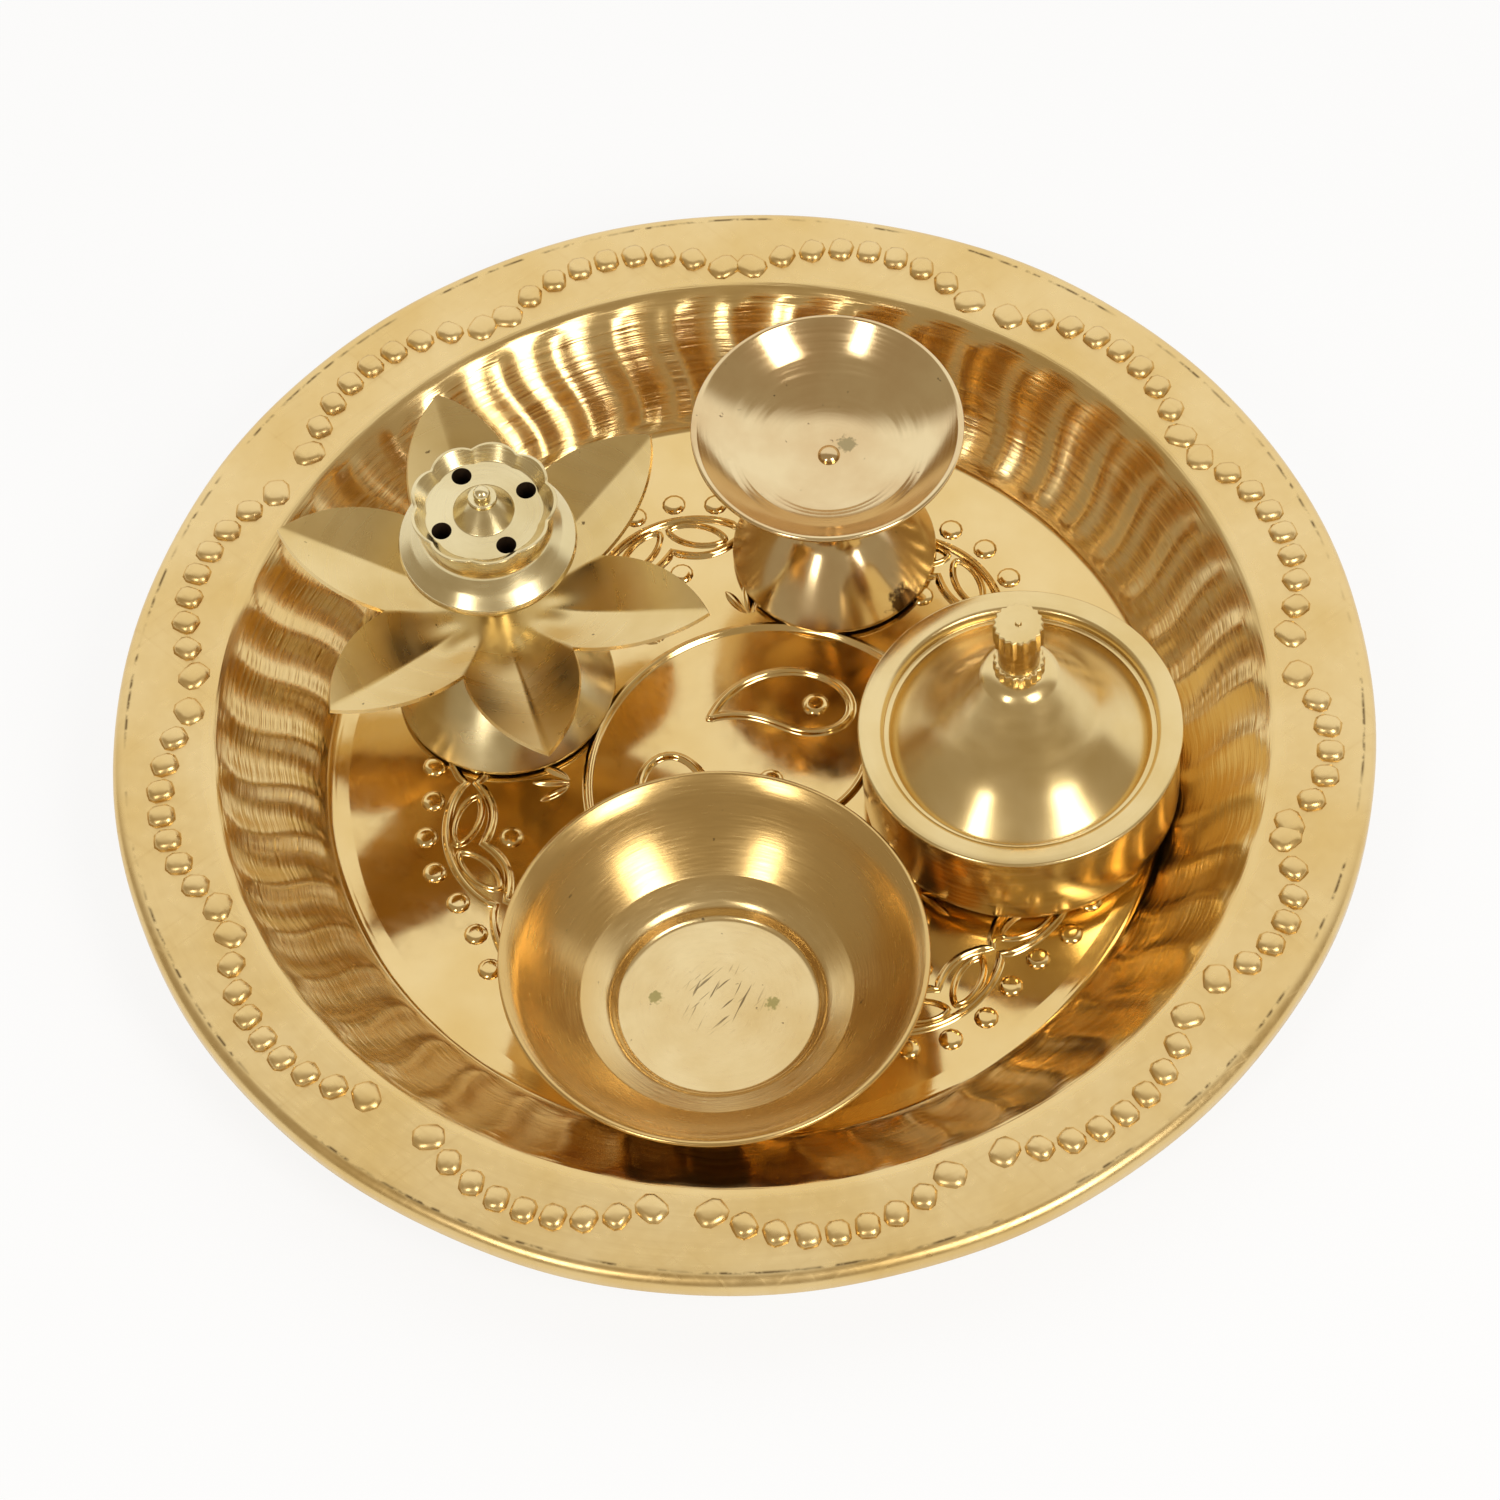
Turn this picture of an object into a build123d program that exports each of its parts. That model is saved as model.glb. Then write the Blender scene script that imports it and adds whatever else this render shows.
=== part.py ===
"""Puja thali: a spun brass plate that carries an incense holder, an oil lamp, a bowl and a powder box.

Millimetres, +Z up, origin in the middle of the plate's underside. Each article is drawn about its own
axis, with zero height at its seat, and is then stood on the plate's raised pattern.
"""
import math
import os
from typing import NamedTuple

from build123d import *

# Clearances
pin_play = 0.05
overrun = 2.0
article_gap = 1.0
seat_margin = 0.3

# Plate: flat floor, sloping fluted wall, broad rim with a turned-down lip
plate_sheet = 0.8
wall_height = 13.9
wall_slope = 42.7
foot_curve = 2.0
rim_width = 13.9
rim_drop = 0.8
rim_curve = 2.5
lip_height = 2.4
lip_curve = 1.4

# Flutes of the wall: upright waves, each bent into one soft S between rim and floor
flute_count = 50
flute_height = 0.6
flute_width = 2.6
flute_sway = 1.2
flute_sway_shares = (0, 1, -1, 0)
flute_start_share = 0.22
flute_end_share = 0.9

# Beads punched into the rim, in arcs that bow outwards
rim_bead_radius = 1.65
rim_bead_height = 1.0
rim_bead_pitch = 4.4
rim_bead_inset = 6.2
rim_arc_bow = 4.2
rim_arcs = (
    (-9.0, 7), (-28.8, 7), (-55.0, 9), (-85.0, 9), (-115.0, 9), (-147.0, 9), (-174.6, 9),
    (-203.0, 9), (-233.0, 9), (-260.0, 9), (-287.0, 9), (-315.6, 9), (-343.0, 9),
)

# Raised pattern of the floor, struck a little off the plate's middle
relief_height = 0.6
relief_shift_x = 3.3
relief_shift_y = -1.9
relief_azimuth = 22.8
ridge_width = 1.2
medallion_radius = 25.4
leaf_pairs = 13
leaf_length = 8.4
leaf_width = 3.5
leaf_line = 0.8
leaf_gap = 1.0
leaf_ring_radius = 43.3
leaf_lean = 26.0
floor_bead_count = 52
floor_bead_radius = 1.5
floor_bead_height = 0.5
floor_bead_ring_radius = 48.9
floor_edge_inset = 3.2

# Incense holder: cone foot, six-petal flower, turned cup with stick holes
incense_azimuth = 152.0
incense_inset = 1.7
incense_gauge = 0.9
incense_foot_radius = 15.5
incense_neck_radius = 3.4
incense_neck_length = 10.0
incense_base_height = 21.4
incense_neck_curve = 8.0
incense_shoulder_curve = 0.8
petal_count = 6
petal_azimuth = 41.5
petal_gauge = 0.6
petal_reach = 31.4
petal_rise = 8.4
petal_width = 14.0
petal_notch_radius = 15.8
petal_belly_share = 0.68
flower_hub_radius = 6.0
flower_curve = 14.0
cup_stem_radius = 2.8
cup_stem_length = 6.5
cup_flange_radius = 12.5
cup_flange_height = 16.0
cup_flange_edge = 0.9
cup_waist_radius = 8.9
cup_waist_height = 19.6
cup_rim_radius = 10.3
cup_rim_height = 24.6
cup_rim_edge = 0.5
cup_well_radius = 8.2
cup_well_height = 22.7
cup_cone_radius = 4.3
cup_cone_height = 25.6
cup_collar_radius = 2.0
cup_ball_radius = 1.2
cup_lobes = 9
cup_lobe_azimuth = 97.0
cup_notch_radius = 1.0
cup_notch_inset = 0.35
stick_hole_count = 4
stick_hole_radius = 1.4
stick_hole_depth = 5.0
stick_hole_circle_radius = 6.6
stick_hole_azimuth = 25.0
incense_screw_radius = 1.5
incense_screw_length = 7.5
incense_head_radius = 2.1
incense_head_height = 1.4

# Oil lamp: shallow dish riveted to a cone pedestal
diya_azimuth = 67.0
diya_gauge = 0.9
diya_foot_radius = 14.7
diya_neck_radius = 4.6
diya_pedestal_height = 23.2
diya_neck_length = 12.9
diya_neck_curve = 8.0
diya_rim_radius = 19.3
diya_depth = 7.3
diya_floor_radius = 12.3
diya_bowl_curve = 21.5
diya_rivet_radius = 1.0
diya_rivet_head_radius = 1.6
diya_rivet_head_height = 1.0
diya_rivet_tail_radius = 1.9
diya_rivet_tail_height = 0.8

# Bowl: flat floor, short riser to a ledge, steep flare and a flatter lip
katori_azimuth = -99.6
katori_gauge = 0.9
katori_floor_radius = 14.3
katori_floor_curve = 1.5
katori_step_radius = 15.4
katori_step_height = 2.6
katori_step_curve = 2.0
katori_ledge_radius = 19.2
katori_ledge_height = 4.1
katori_ledge_curve = 1.5
katori_rim_radius = 29.8
katori_height = 15.0

# Powder box: straight body, lid with a dropped ring inside its flange, knurled knob
box_azimuth = -10.8
box_gauge = 0.9
box_radius = 22.3
box_height = 16.4
box_corner = 3.0
lid_gauge = 0.8
lid_overhang = 0.4
lid_ring_gap = 1.5
lid_ring_depth = 1.6
lid_groove_width = 1.3
lid_groove_curve = 0.6
lid_dome_height = 15.4
lid_flare_inset = 6.2
lid_flare_height = 4.6
lid_flare_curve = 20.0
lid_crown_radius = 4.4
lid_crown_curve = 3.0
knob_teeth = 20
knob_tooth_depth = 0.35
knob_foot_radius = 3.6
knob_foot_height = 2.2
knob_waist_radius = 2.9
knob_top_radius = 3.5
knob_top_height = 4.2
knob_height = 11.0
knob_pip_radius = 0.5
knob_pip_height = 0.4
knob_screw_radius = 1.3
knob_screw_length = 6.0
knob_screw_head_radius = 2.4
knob_screw_head_height = 1.2


class Article(NamedTuple):
    """What the layout needs to know of an article: its reach, its foot and its place on the ring."""
    reach: float
    foot: float
    azimuth: float
    inset: float


incense = Article(petal_reach, incense_foot_radius, incense_azimuth, incense_inset)
diya = Article(max(diya_rim_radius, diya_foot_radius), diya_foot_radius, diya_azimuth, 0)
katori = Article(katori_rim_radius, katori_floor_radius, katori_azimuth, 0)
box = Article(box_radius + lid_overhang, box_radius - box_corner, box_azimuth, 0)
articles = (katori, box, diya, incense)


def ring_for(one, other):
    """Radius of the ring on which two neighbouring articles clear each other by the article gap."""
    apart = one.reach + other.reach + article_gap
    turn = math.cos(math.radians(other.azimuth - one.azimuth))
    half_step = (one.inset - other.inset) / 2
    mean = math.sqrt((apart**2 - 2 * half_step**2 * (1 + turn)) / (2 - 2 * turn))
    return mean + (one.inset + other.inset) / 2


# The articles stand on one ring, and the plate is as large as they need
ring_radius = max(ring_for(one, other) for one, other in zip(articles, articles[1:] + articles[:1]))
floor_radius = max(ring_radius - each.inset + each.foot for each in articles) + seat_margin
seat_height = plate_sheet + relief_height
slope_rise = math.tan(math.radians(wall_slope))
wall_foot_radius = floor_radius + foot_curve * math.tan(math.radians(wall_slope / 2))
wall_top_radius = wall_foot_radius + wall_height / slope_rise
lip_radius = wall_top_radius + rim_width


def stand(piece, article, turn=0):
    """Stands a piece, drawn about its own axis, at its article's place on the plate."""
    offset = ring_radius - article.inset
    angle = math.radians(article.azimuth)
    place = Pos(offset * math.cos(angle), offset * math.sin(angle), seat_height)
    return place * Rot(0, 0, turn) * piece


def left_of(run):
    """Direction square to a run, on its left."""
    return Vector(-run.Y, run.X)


def sheet_side(path, bends, shift):
    """One face of a spun sheet: its middle line moved to the left by shift, with rounded corners."""
    corners = [Vector(*point) for point in path]
    runs = [(end - start).normalized() for start, end in zip(corners, corners[1:])]
    points = [
        corner + (left_of(before) + left_of(after)) * (shift / (1 + before.dot(after)))
        for corner, before, after in zip(corners, runs[:1] + runs, runs + runs[-1:])
    ]
    radii = [
        bend - shift * math.copysign(1, left_of(before).dot(after))
        for bend, before, after in zip(bends, runs, runs[1:])
    ]
    return FilletPolyline(*points, radius=radii)


def spun(path, bends, gauge, flat_end=False):
    """Solid of one sheet spun about Z: path runs along the sheet's middle, bends are its corner radii."""
    inner = sheet_side(path, bends, gauge / 2)
    outer = sheet_side(path, bends, -gauge / 2)
    tip = (inner @ 1 + outer @ 1) / 2 + (inner % 1) * (gauge / 2)
    end = Line(inner @ 1, outer @ 1) if flat_end else ThreePointArc(inner @ 1, tip, outer @ 1)
    section = make_face(Curve() + [inner, outer, Line(inner @ 0, outer @ 0), end])
    return revolve(Plane.XZ * section, Axis.Z)


def turned(*points):
    """Solid turned about Z from the corner points of its half section."""
    return revolve(Plane.XZ * make_face(Polyline(*points, close=True)), Axis.Z)


def dome(radius, height, root):
    """Low round bead that stands on z zero, with a root that sinks into the sheet."""
    side = Line((radius, -root), (radius, 0))
    sphere = (radius**2 + height**2) / (2 * height)
    crown = RadiusArc((radius, 0), (0, height), -sphere)
    floor = Polyline((0, height), (0, -root), (radius, -root))
    return revolve(Plane.XZ * make_face(Curve() + [side, crown, floor]), Axis.Z)


def polar(radius, azimuth):
    """Plan point at a radius and an azimuth in degrees."""
    angle = math.radians(azimuth)
    return (radius * math.cos(angle), radius * math.sin(angle))


def above(part, level):
    """What of a part lies above a level."""
    size = 2 * part.bounding_box().diagonal
    return part & Pos(0, 0, level) * Box(size, size, size, align=(Align.CENTER, Align.CENTER, Align.MIN))


def flutes():
    """Swaying ribs of the wall: bands seen from above, cut from a layer that lies on the wall."""
    rise = Vector(wall_top_radius - wall_foot_radius, wall_height)
    foot = Vector(wall_foot_radius, plate_sheet / 2)
    low = foot + rise * flute_start_share
    high = foot + rise * flute_end_share
    lift = left_of(rise.normalized()) * (plate_sheet / 2 + flute_height)
    layer = turned(low, high, high + lift, low + lift)
    inner, outer = (low + lift).X - overrun, high.X + overrun
    sway = math.degrees(flute_sway / outer)
    half = math.degrees(flute_width / 2 / outer)
    steps = len(flute_sway_shares) - 1
    stations = [
        (outer + (inner - outer) * step / steps, sway * share)
        for step, share in enumerate(flute_sway_shares)
    ]
    edges = []
    for side in (-half, half):
        points = [polar(radius, azimuth + side) for radius, azimuth in stations]
        edges.append(Spline(*points, tangents=[Vector(*point) * -1 for point in points]))
    left, right = edges
    outline = Curve() + [left, right, Line(left @ 0, right @ 0), Line(left @ 1, right @ 1)]
    band = extrude(make_face(outline), wall_height + 2 * overrun)
    rib = band & layer
    return [Rot(0, 0, 360 / flute_count * step) * rib for step in range(flute_count)]


def rim_beads():
    """Beads of the rim: arcs whose middles bow out towards the lip."""
    bead = dome(rim_bead_radius, rim_bead_height, plate_sheet / 2)
    tilt = math.degrees(math.atan2(rim_drop, rim_width))
    rim_top = wall_height + plate_sheet
    beads = []
    for azimuth, count in rim_arcs:
        reach = (count - 1) / 2
        for step in range(count):
            share = (step - reach) / reach
            radius = lip_radius - rim_bead_inset - rim_arc_bow * share**2
            height = rim_top - rim_drop * (radius - wall_top_radius) / rim_width
            turn = azimuth + math.degrees(rim_bead_pitch * (step - reach) / radius)
            beads.append(Rot(0, 0, turn) * Pos(radius, 0, height) * Rot(0, tilt, 0) * bead)
    return beads


def floor_relief():
    """Raised pattern of the floor: a medallion ring, a wreath of leaf loops, beads and an edge ring."""
    root = plate_sheet / 2
    depth = relief_height + root
    middle = Pos(relief_shift_x, relief_shift_y, root) * Rot(0, 0, relief_azimuth)
    ring = Circle(medallion_radius + ridge_width) - Circle(medallion_radius)
    edge = floor_radius - floor_edge_inset
    rim = Circle(edge) - Circle(edge - ridge_width)
    leaf = Ellipse(leaf_length / 2, leaf_width / 2)
    loop = leaf - Ellipse(leaf_length / 2 - leaf_line, leaf_width / 2 - leaf_line)
    pieces = [middle * extrude(ring, depth), Pos(0, 0, root) * extrude(rim, depth)]
    loop = extrude(loop, depth)
    spread = math.degrees((leaf_length + leaf_gap) / 2 / leaf_ring_radius)
    for pair in range(leaf_pairs):
        for side in (-1, 1):
            turn = 360 / leaf_pairs * pair + side * spread
            lean = 90 + side * leaf_lean
            pieces.append(middle * Rot(0, 0, turn) * Pos(leaf_ring_radius, 0, 0) * Rot(0, 0, lean) * loop)
    bead = dome(floor_bead_radius, floor_bead_height, root)
    for step in range(floor_bead_count):
        turn = 360 / floor_bead_count * (step + 1 / 2)
        pieces.append(middle * Rot(0, 0, turn) * Pos(floor_bead_ring_radius, 0, root) * bead)
    return pieces


def thali_plate():
    """The plate: one spun sheet with its flutes, beads and raised pattern."""
    middle = plate_sheet / 2
    rim = middle + wall_height
    lip = rim - rim_drop
    path = [
        (0, middle),
        (wall_foot_radius, middle),
        (wall_top_radius, rim),
        (lip_radius, lip),
        (lip_radius, lip - lip_height),
    ]
    sheet = spun(path, [foot_curve, rim_curve, lip_curve], plate_sheet)
    return sheet.fuse(*flutes(), *rim_beads(), *floor_relief())


def cone_foot(foot_radius, neck_radius, neck_length, height, curve, shoulder, gauge, hole):
    """Hollow spun cone with a flat top plate that has a hole, cut flat where it stands."""
    top = height - gauge / 2
    neck = neck_radius - gauge / 2
    bottom = foot_radius - gauge / 2
    shoulder_height = top - neck_length
    lean = (bottom - neck) / shoulder_height
    path = [(hole, top), (neck, top), (neck, shoulder_height), (bottom + lean * overrun, -overrun)]
    return above(spun(path, [shoulder, curve], gauge, flat_end=True), 0)


def incense_base():
    """Cone foot of the incense holder, with a slender neck."""
    return cone_foot(
        incense_foot_radius, incense_neck_radius, incense_neck_length, incense_base_height,
        incense_neck_curve, incense_shoulder_curve, incense_gauge, incense_screw_radius + pin_play,
    )


def incense_flower():
    """Six upturned petals of one sheet: a dished disc cut to the flower's outline."""
    seat = incense_base_height + petal_gauge / 2
    reach = petal_reach + overrun
    slope = petal_rise / (petal_reach - flower_hub_radius)
    edge = (reach, seat + slope * (reach - flower_hub_radius))
    path = [(incense_screw_radius + pin_play, seat), (flower_hub_radius, seat), edge]
    sheet = spun(path, [flower_curve], petal_gauge)
    belly = petal_reach * petal_belly_share
    half_turn = 180 / petal_count
    outline = Curve()
    for petal in range(petal_count):
        turn = Rot(0, 0, petal * 2 * half_turn)
        for side in (-1, 1):
            notch = polar(petal_notch_radius, side * half_turn)
            outline += turn * ThreePointArc(notch, (belly, side * petal_width / 2), (petal_reach, 0))
    cutter = extrude(make_face(outline), 2 * (incense_base_height + petal_rise + overrun))
    return sheet & cutter


def incense_cup():
    """Turned cup: stem, flange, waist, lobed rim and a well with stick holes round a pointed boss."""
    bowl_height = cup_flange_height - cup_flange_edge
    collar = cup_cone_height + cup_ball_radius / 2
    cup = turned(
        (0, 0),
        (cup_stem_radius, 0),
        (cup_stem_radius, cup_stem_length),
        (cup_flange_radius, bowl_height),
        (cup_flange_radius, cup_flange_height),
        (cup_waist_radius, cup_waist_height),
        (cup_rim_radius, cup_rim_height),
        (cup_rim_radius - cup_rim_edge, cup_rim_height),
        (cup_well_radius, cup_well_height),
        (cup_cone_radius, cup_well_height),
        (cup_collar_radius, cup_cone_height),
        (cup_collar_radius, collar),
        (0, collar),
    )
    cup += Pos(0, 0, collar + cup_ball_radius / 2) * Sphere(cup_ball_radius)
    notch = Cylinder(cup_notch_radius, 2 * (cup_rim_height - cup_well_height))
    notch_ring = cup_rim_radius + cup_notch_radius - cup_rim_edge - cup_notch_inset
    cuts = [Pos(*polar(notch_ring, cup_lobe_azimuth + 360 / cup_lobes * step), cup_rim_height) * notch
            for step in range(cup_lobes)]
    hole = Cylinder(stick_hole_radius, stick_hole_depth + overrun)
    hole_height = cup_well_height + (overrun - stick_hole_depth) / 2
    for step in range(stick_hole_count):
        azimuth = stick_hole_azimuth + 360 / stick_hole_count * step
        cuts.append(Pos(*polar(stick_hole_circle_radius, azimuth), hole_height) * hole)
    depth = incense_screw_length - incense_gauge - petal_gauge + pin_play
    thread = Cylinder(incense_screw_radius + pin_play, 2 * depth)
    return Pos(0, 0, incense_base_height + petal_gauge) * (cup - [*cuts, thread])


def screw(radius, length, head_radius, head_height):
    """Screw that points up, with the seat of its head at z zero."""
    return turned(
        (0, -head_height), (head_radius, -head_height), (head_radius, 0), (radius, 0),
        (radius, length), (0, length),
    )


def incense_screw():
    """Screw that clamps cup, flower and foot together from inside the neck."""
    fastener = screw(incense_screw_radius, incense_screw_length, incense_head_radius, incense_head_height)
    return Pos(0, 0, incense_base_height - incense_gauge) * fastener


def diya_pedestal():
    """Cone pedestal of the oil lamp."""
    return cone_foot(
        diya_foot_radius, diya_neck_radius, diya_neck_length, diya_pedestal_height,
        diya_neck_curve, diya_gauge, diya_gauge, diya_rivet_radius + pin_play,
    )


def diya_dish():
    """Shallow oil dish with a flat middle on the pedestal."""
    middle = diya_gauge / 2
    floor = diya_pedestal_height + middle
    rim = (diya_rim_radius - middle, floor + diya_depth)
    path = [(diya_rivet_radius + pin_play, floor), (diya_floor_radius, floor), rim]
    return spun(path, [diya_bowl_curve], diya_gauge)


def diya_rivet():
    """Rivet through dish and pedestal: round head in the dish, flat tail below."""
    grip = 2 * diya_gauge
    shank = turned(
        (0, -diya_rivet_tail_height), (diya_rivet_tail_radius, -diya_rivet_tail_height),
        (diya_rivet_tail_radius, 0), (diya_rivet_radius, 0), (diya_rivet_radius, grip), (0, grip),
    )
    head = Pos(0, 0, grip) * above(dome(diya_rivet_head_radius, diya_rivet_head_height, diya_gauge), 0)
    return Pos(0, 0, diya_pedestal_height - diya_gauge) * (shank + head)


def katori_bowl():
    """Bowl with a small flat floor, a ledge above a short riser, and a straight flare."""
    middle = katori_gauge / 2
    path = [
        (0, middle),
        (katori_floor_radius, middle),
        (katori_step_radius, katori_step_height),
        (katori_ledge_radius, katori_ledge_height),
        (katori_rim_radius - middle, katori_height - middle),
    ]
    return spun(path, [katori_floor_curve, katori_step_curve, katori_ledge_curve], katori_gauge)


def kumkum_box():
    """Straight-sided body of the powder box."""
    middle = box_gauge / 2
    wall = box_radius - middle
    return spun([(0, middle), (wall, middle), (wall, box_height)], [box_corner], box_gauge, flat_end=True)


def kumkum_lid():
    """Lid: flange on the body's edge, a ring dropped inside the body, and a flared cone with a flat crown."""
    middle = lid_gauge / 2
    flange = box_height + middle
    ring = box_radius - box_gauge - lid_ring_gap - middle
    groove = ring - lid_groove_width
    crown = box_height + lid_dome_height + middle
    flare = groove - lid_flare_inset
    path = [
        (knob_screw_radius + pin_play, crown),
        (lid_crown_radius, crown),
        (flare, box_height + lid_flare_height),
        (groove, flange - lid_ring_depth),
        (ring, flange - lid_ring_depth),
        (ring, flange),
        (box_radius + lid_overhang - middle, flange),
    ]
    bends = [lid_crown_curve, lid_flare_curve, lid_groove_curve, lid_groove_curve, lid_groove_curve]
    return spun(path, bends, lid_gauge)


def knurl(radius, height):
    """Short cylinder with pointed teeth round it."""
    points = []
    for step in range(knob_teeth):
        points.append(polar(radius, 360 / knob_teeth * step))
        points.append(polar(radius - knob_tooth_depth, 360 / knob_teeth * (step + 1 / 2)))
    return extrude(make_face(Polyline(*points, close=True)), height)


def kumkum_knob():
    """Knob with a knurled foot, a plain waist and a knurled head that has a pip in its middle."""
    waist = Cylinder(knob_waist_radius, knob_height, align=(Align.CENTER, Align.CENTER, Align.MIN))
    head = Pos(0, 0, knob_height - knob_top_height) * knurl(knob_top_radius, knob_top_height)
    pip = Pos(0, 0, knob_height) * dome(knob_pip_radius, knob_pip_height, knob_pip_height)
    thread = Cylinder(knob_screw_radius + pin_play, 2 * (knob_screw_length - lid_gauge + pin_play))
    knob = waist + [knurl(knob_foot_radius, knob_foot_height), head, pip] - thread
    return Pos(0, 0, box_height + lid_dome_height + lid_gauge) * knob


def kumkum_knob_screw():
    """Screw that holds the knob from inside the lid."""
    fastener = screw(knob_screw_radius, knob_screw_length, knob_screw_head_radius, knob_screw_head_height)
    return Pos(0, 0, box_height + lid_dome_height) * fastener


pieces = {
    "thali_plate": thali_plate(),
    "incense_base": stand(incense_base(), incense),
    "incense_flower": stand(incense_flower(), incense, petal_azimuth),
    "incense_cup": stand(incense_cup(), incense),
    "incense_screw": stand(incense_screw(), incense),
    "diya_pedestal": stand(diya_pedestal(), diya),
    "diya_dish": stand(diya_dish(), diya),
    "diya_rivet": stand(diya_rivet(), diya),
    "katori_bowl": stand(katori_bowl(), katori),
    "kumkum_box": stand(kumkum_box(), box),
    "kumkum_lid": stand(kumkum_lid(), box),
    "kumkum_knob": stand(kumkum_knob(), box),
    "kumkum_knob_screw": stand(kumkum_knob_screw(), box),
}

os.makedirs("parts", exist_ok=True)
for name, piece in pieces.items():
    export_step(piece, f"parts/{name}.step")
print(f"ring {ring_radius:.2f}, floor {floor_radius:.2f}, wall top {wall_top_radius:.2f}")
print(f"plate radius {lip_radius + plate_sheet / 2:.2f}, seat {seat_height:.2f}")
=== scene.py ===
"""Puja thali in brass: the looks of the plate and of the four articles that stand on it.

Metres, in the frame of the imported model. Each piece is modelled at its place, rides on its body and stands
for one solid.
"""
import math
from functools import partial
from itertools import pairwise

import bpy
import numpy as np
from bpy.props import FloatProperty, FloatVectorProperty, IntProperty, PointerProperty
from mathutils import Matrix, Vector


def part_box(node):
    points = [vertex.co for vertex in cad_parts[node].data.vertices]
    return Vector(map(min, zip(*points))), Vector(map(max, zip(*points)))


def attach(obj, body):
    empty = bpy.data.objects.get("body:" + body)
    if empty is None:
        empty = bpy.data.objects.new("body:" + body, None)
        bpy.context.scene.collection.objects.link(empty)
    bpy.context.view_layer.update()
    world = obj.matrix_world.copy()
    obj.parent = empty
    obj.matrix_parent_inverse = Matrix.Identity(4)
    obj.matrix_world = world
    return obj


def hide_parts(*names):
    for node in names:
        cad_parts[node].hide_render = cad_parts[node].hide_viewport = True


bl_info = {
    "name": "Puja Thali",
    "version": (1, 0, 0),
    "blender": (4, 5, 0),
    "location": "View3D > Sidebar > Thali",
    "description": "Models a brass puja thali with its incense holder, oil lamp, bowl and powder box",
    "category": "Mesh",
}

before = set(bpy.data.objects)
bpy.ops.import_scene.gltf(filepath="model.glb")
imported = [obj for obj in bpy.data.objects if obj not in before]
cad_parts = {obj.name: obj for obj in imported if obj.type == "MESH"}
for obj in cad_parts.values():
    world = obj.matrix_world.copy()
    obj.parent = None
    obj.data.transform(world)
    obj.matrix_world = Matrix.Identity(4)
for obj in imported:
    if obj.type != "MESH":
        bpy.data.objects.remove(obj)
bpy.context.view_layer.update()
MM = 0.001
ARC_STEP = math.radians(7)
MERGE_DISTANCE = 0.002 * MM
SHARP_ANGLE = math.radians(38)
PIN_PLAY = 0.05 * MM
INCENSE_SCREW_HOLE = 1.55 * MM
RELIEF_ROOT = -0.3 * MM

# Where a stretch of beads sits on the rim, as its azimuth in degrees and its number of beads
RIM_ARCS = (
    (-9.0, 7), (-28.8, 7), (-55.0, 9), (-85.0, 9), (-115.0, 9), (-147.0, 9), (-174.6, 9),
    (-203.0, 9), (-233.0, 9), (-260.0, 9), (-287.0, 9), (-315.6, 9), (-343.0, 9),
)
# How the rim wavers: waves to a turn, phase and share
RIM_WAVES = ((5, 0.7, 1.0), (9, 2.1, 0.7), (17, 0.0, 0.5))
# Beads of the floor for each scallop: share of a scallop and radius in millimetres
FLOOR_BEADS = ((-0.375, 47.9), (-0.125, 49.4), (0.125, 49.4), (0.375, 47.9), (0, 37.6))
# Sections in shares of their size, as across and up: a bead, then a raised line without its root
BEAD_SECTION = ((0, 1), (0.5, 0.96), (0.75, 0.8), (0.9, 0.42), (1, 0))
LINE_ACROSS = (-0.5, -0.5, -0.4, -0.28, -0.14, 0, 0.14, 0.28, 0.4, 0.5, 0.5, -0.5)
LINE_UP = (0, 0.1, 0.46, 0.87, 1, 0.87, 0.46, 0.1, 0)
# Softboxes: name, azimuth and elevation in degrees, width and height in metres, radiance
SOFTBOXES = (("softbox_right", 38, 41, 0.30, 0.54, 7.0), ("softbox_left", -36, 41, 0.17, 0.42, 7.0))


def linear(hex_colour):
    """Linear RGBA of an sRGB hex value."""
    channels = [int(hex_colour[start:start + 2], 16) / 255 for start in (1, 3, 5)]
    return (*(c / 12.92 if c <= 0.04045 else ((c + 0.055) / 1.055) ** 2.4 for c in channels), 1.0)


def length(name, description, millimetres):
    """Length property, given in millimetres."""
    return FloatProperty(
        name=name, description=description, default=millimetres * MM, precision=5,
        unit="LENGTH", subtype="DISTANCE",
    )


def angle(name, description, degrees):
    """Angle property, given in degrees."""
    return FloatProperty(
        name=name, description=description, default=math.radians(degrees), unit="ROTATION", subtype="ANGLE",
    )


def number(name, description, default):
    """Count property."""
    return IntProperty(name=name, description=description, default=default, min=1)


def tone(name, description, hex_colour):
    """Colour property, given as an sRGB hex value."""
    return FloatVectorProperty(
        name=name, description=description, default=linear(hex_colour), size=4, min=0, max=1, subtype="COLOR",
    )


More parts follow.
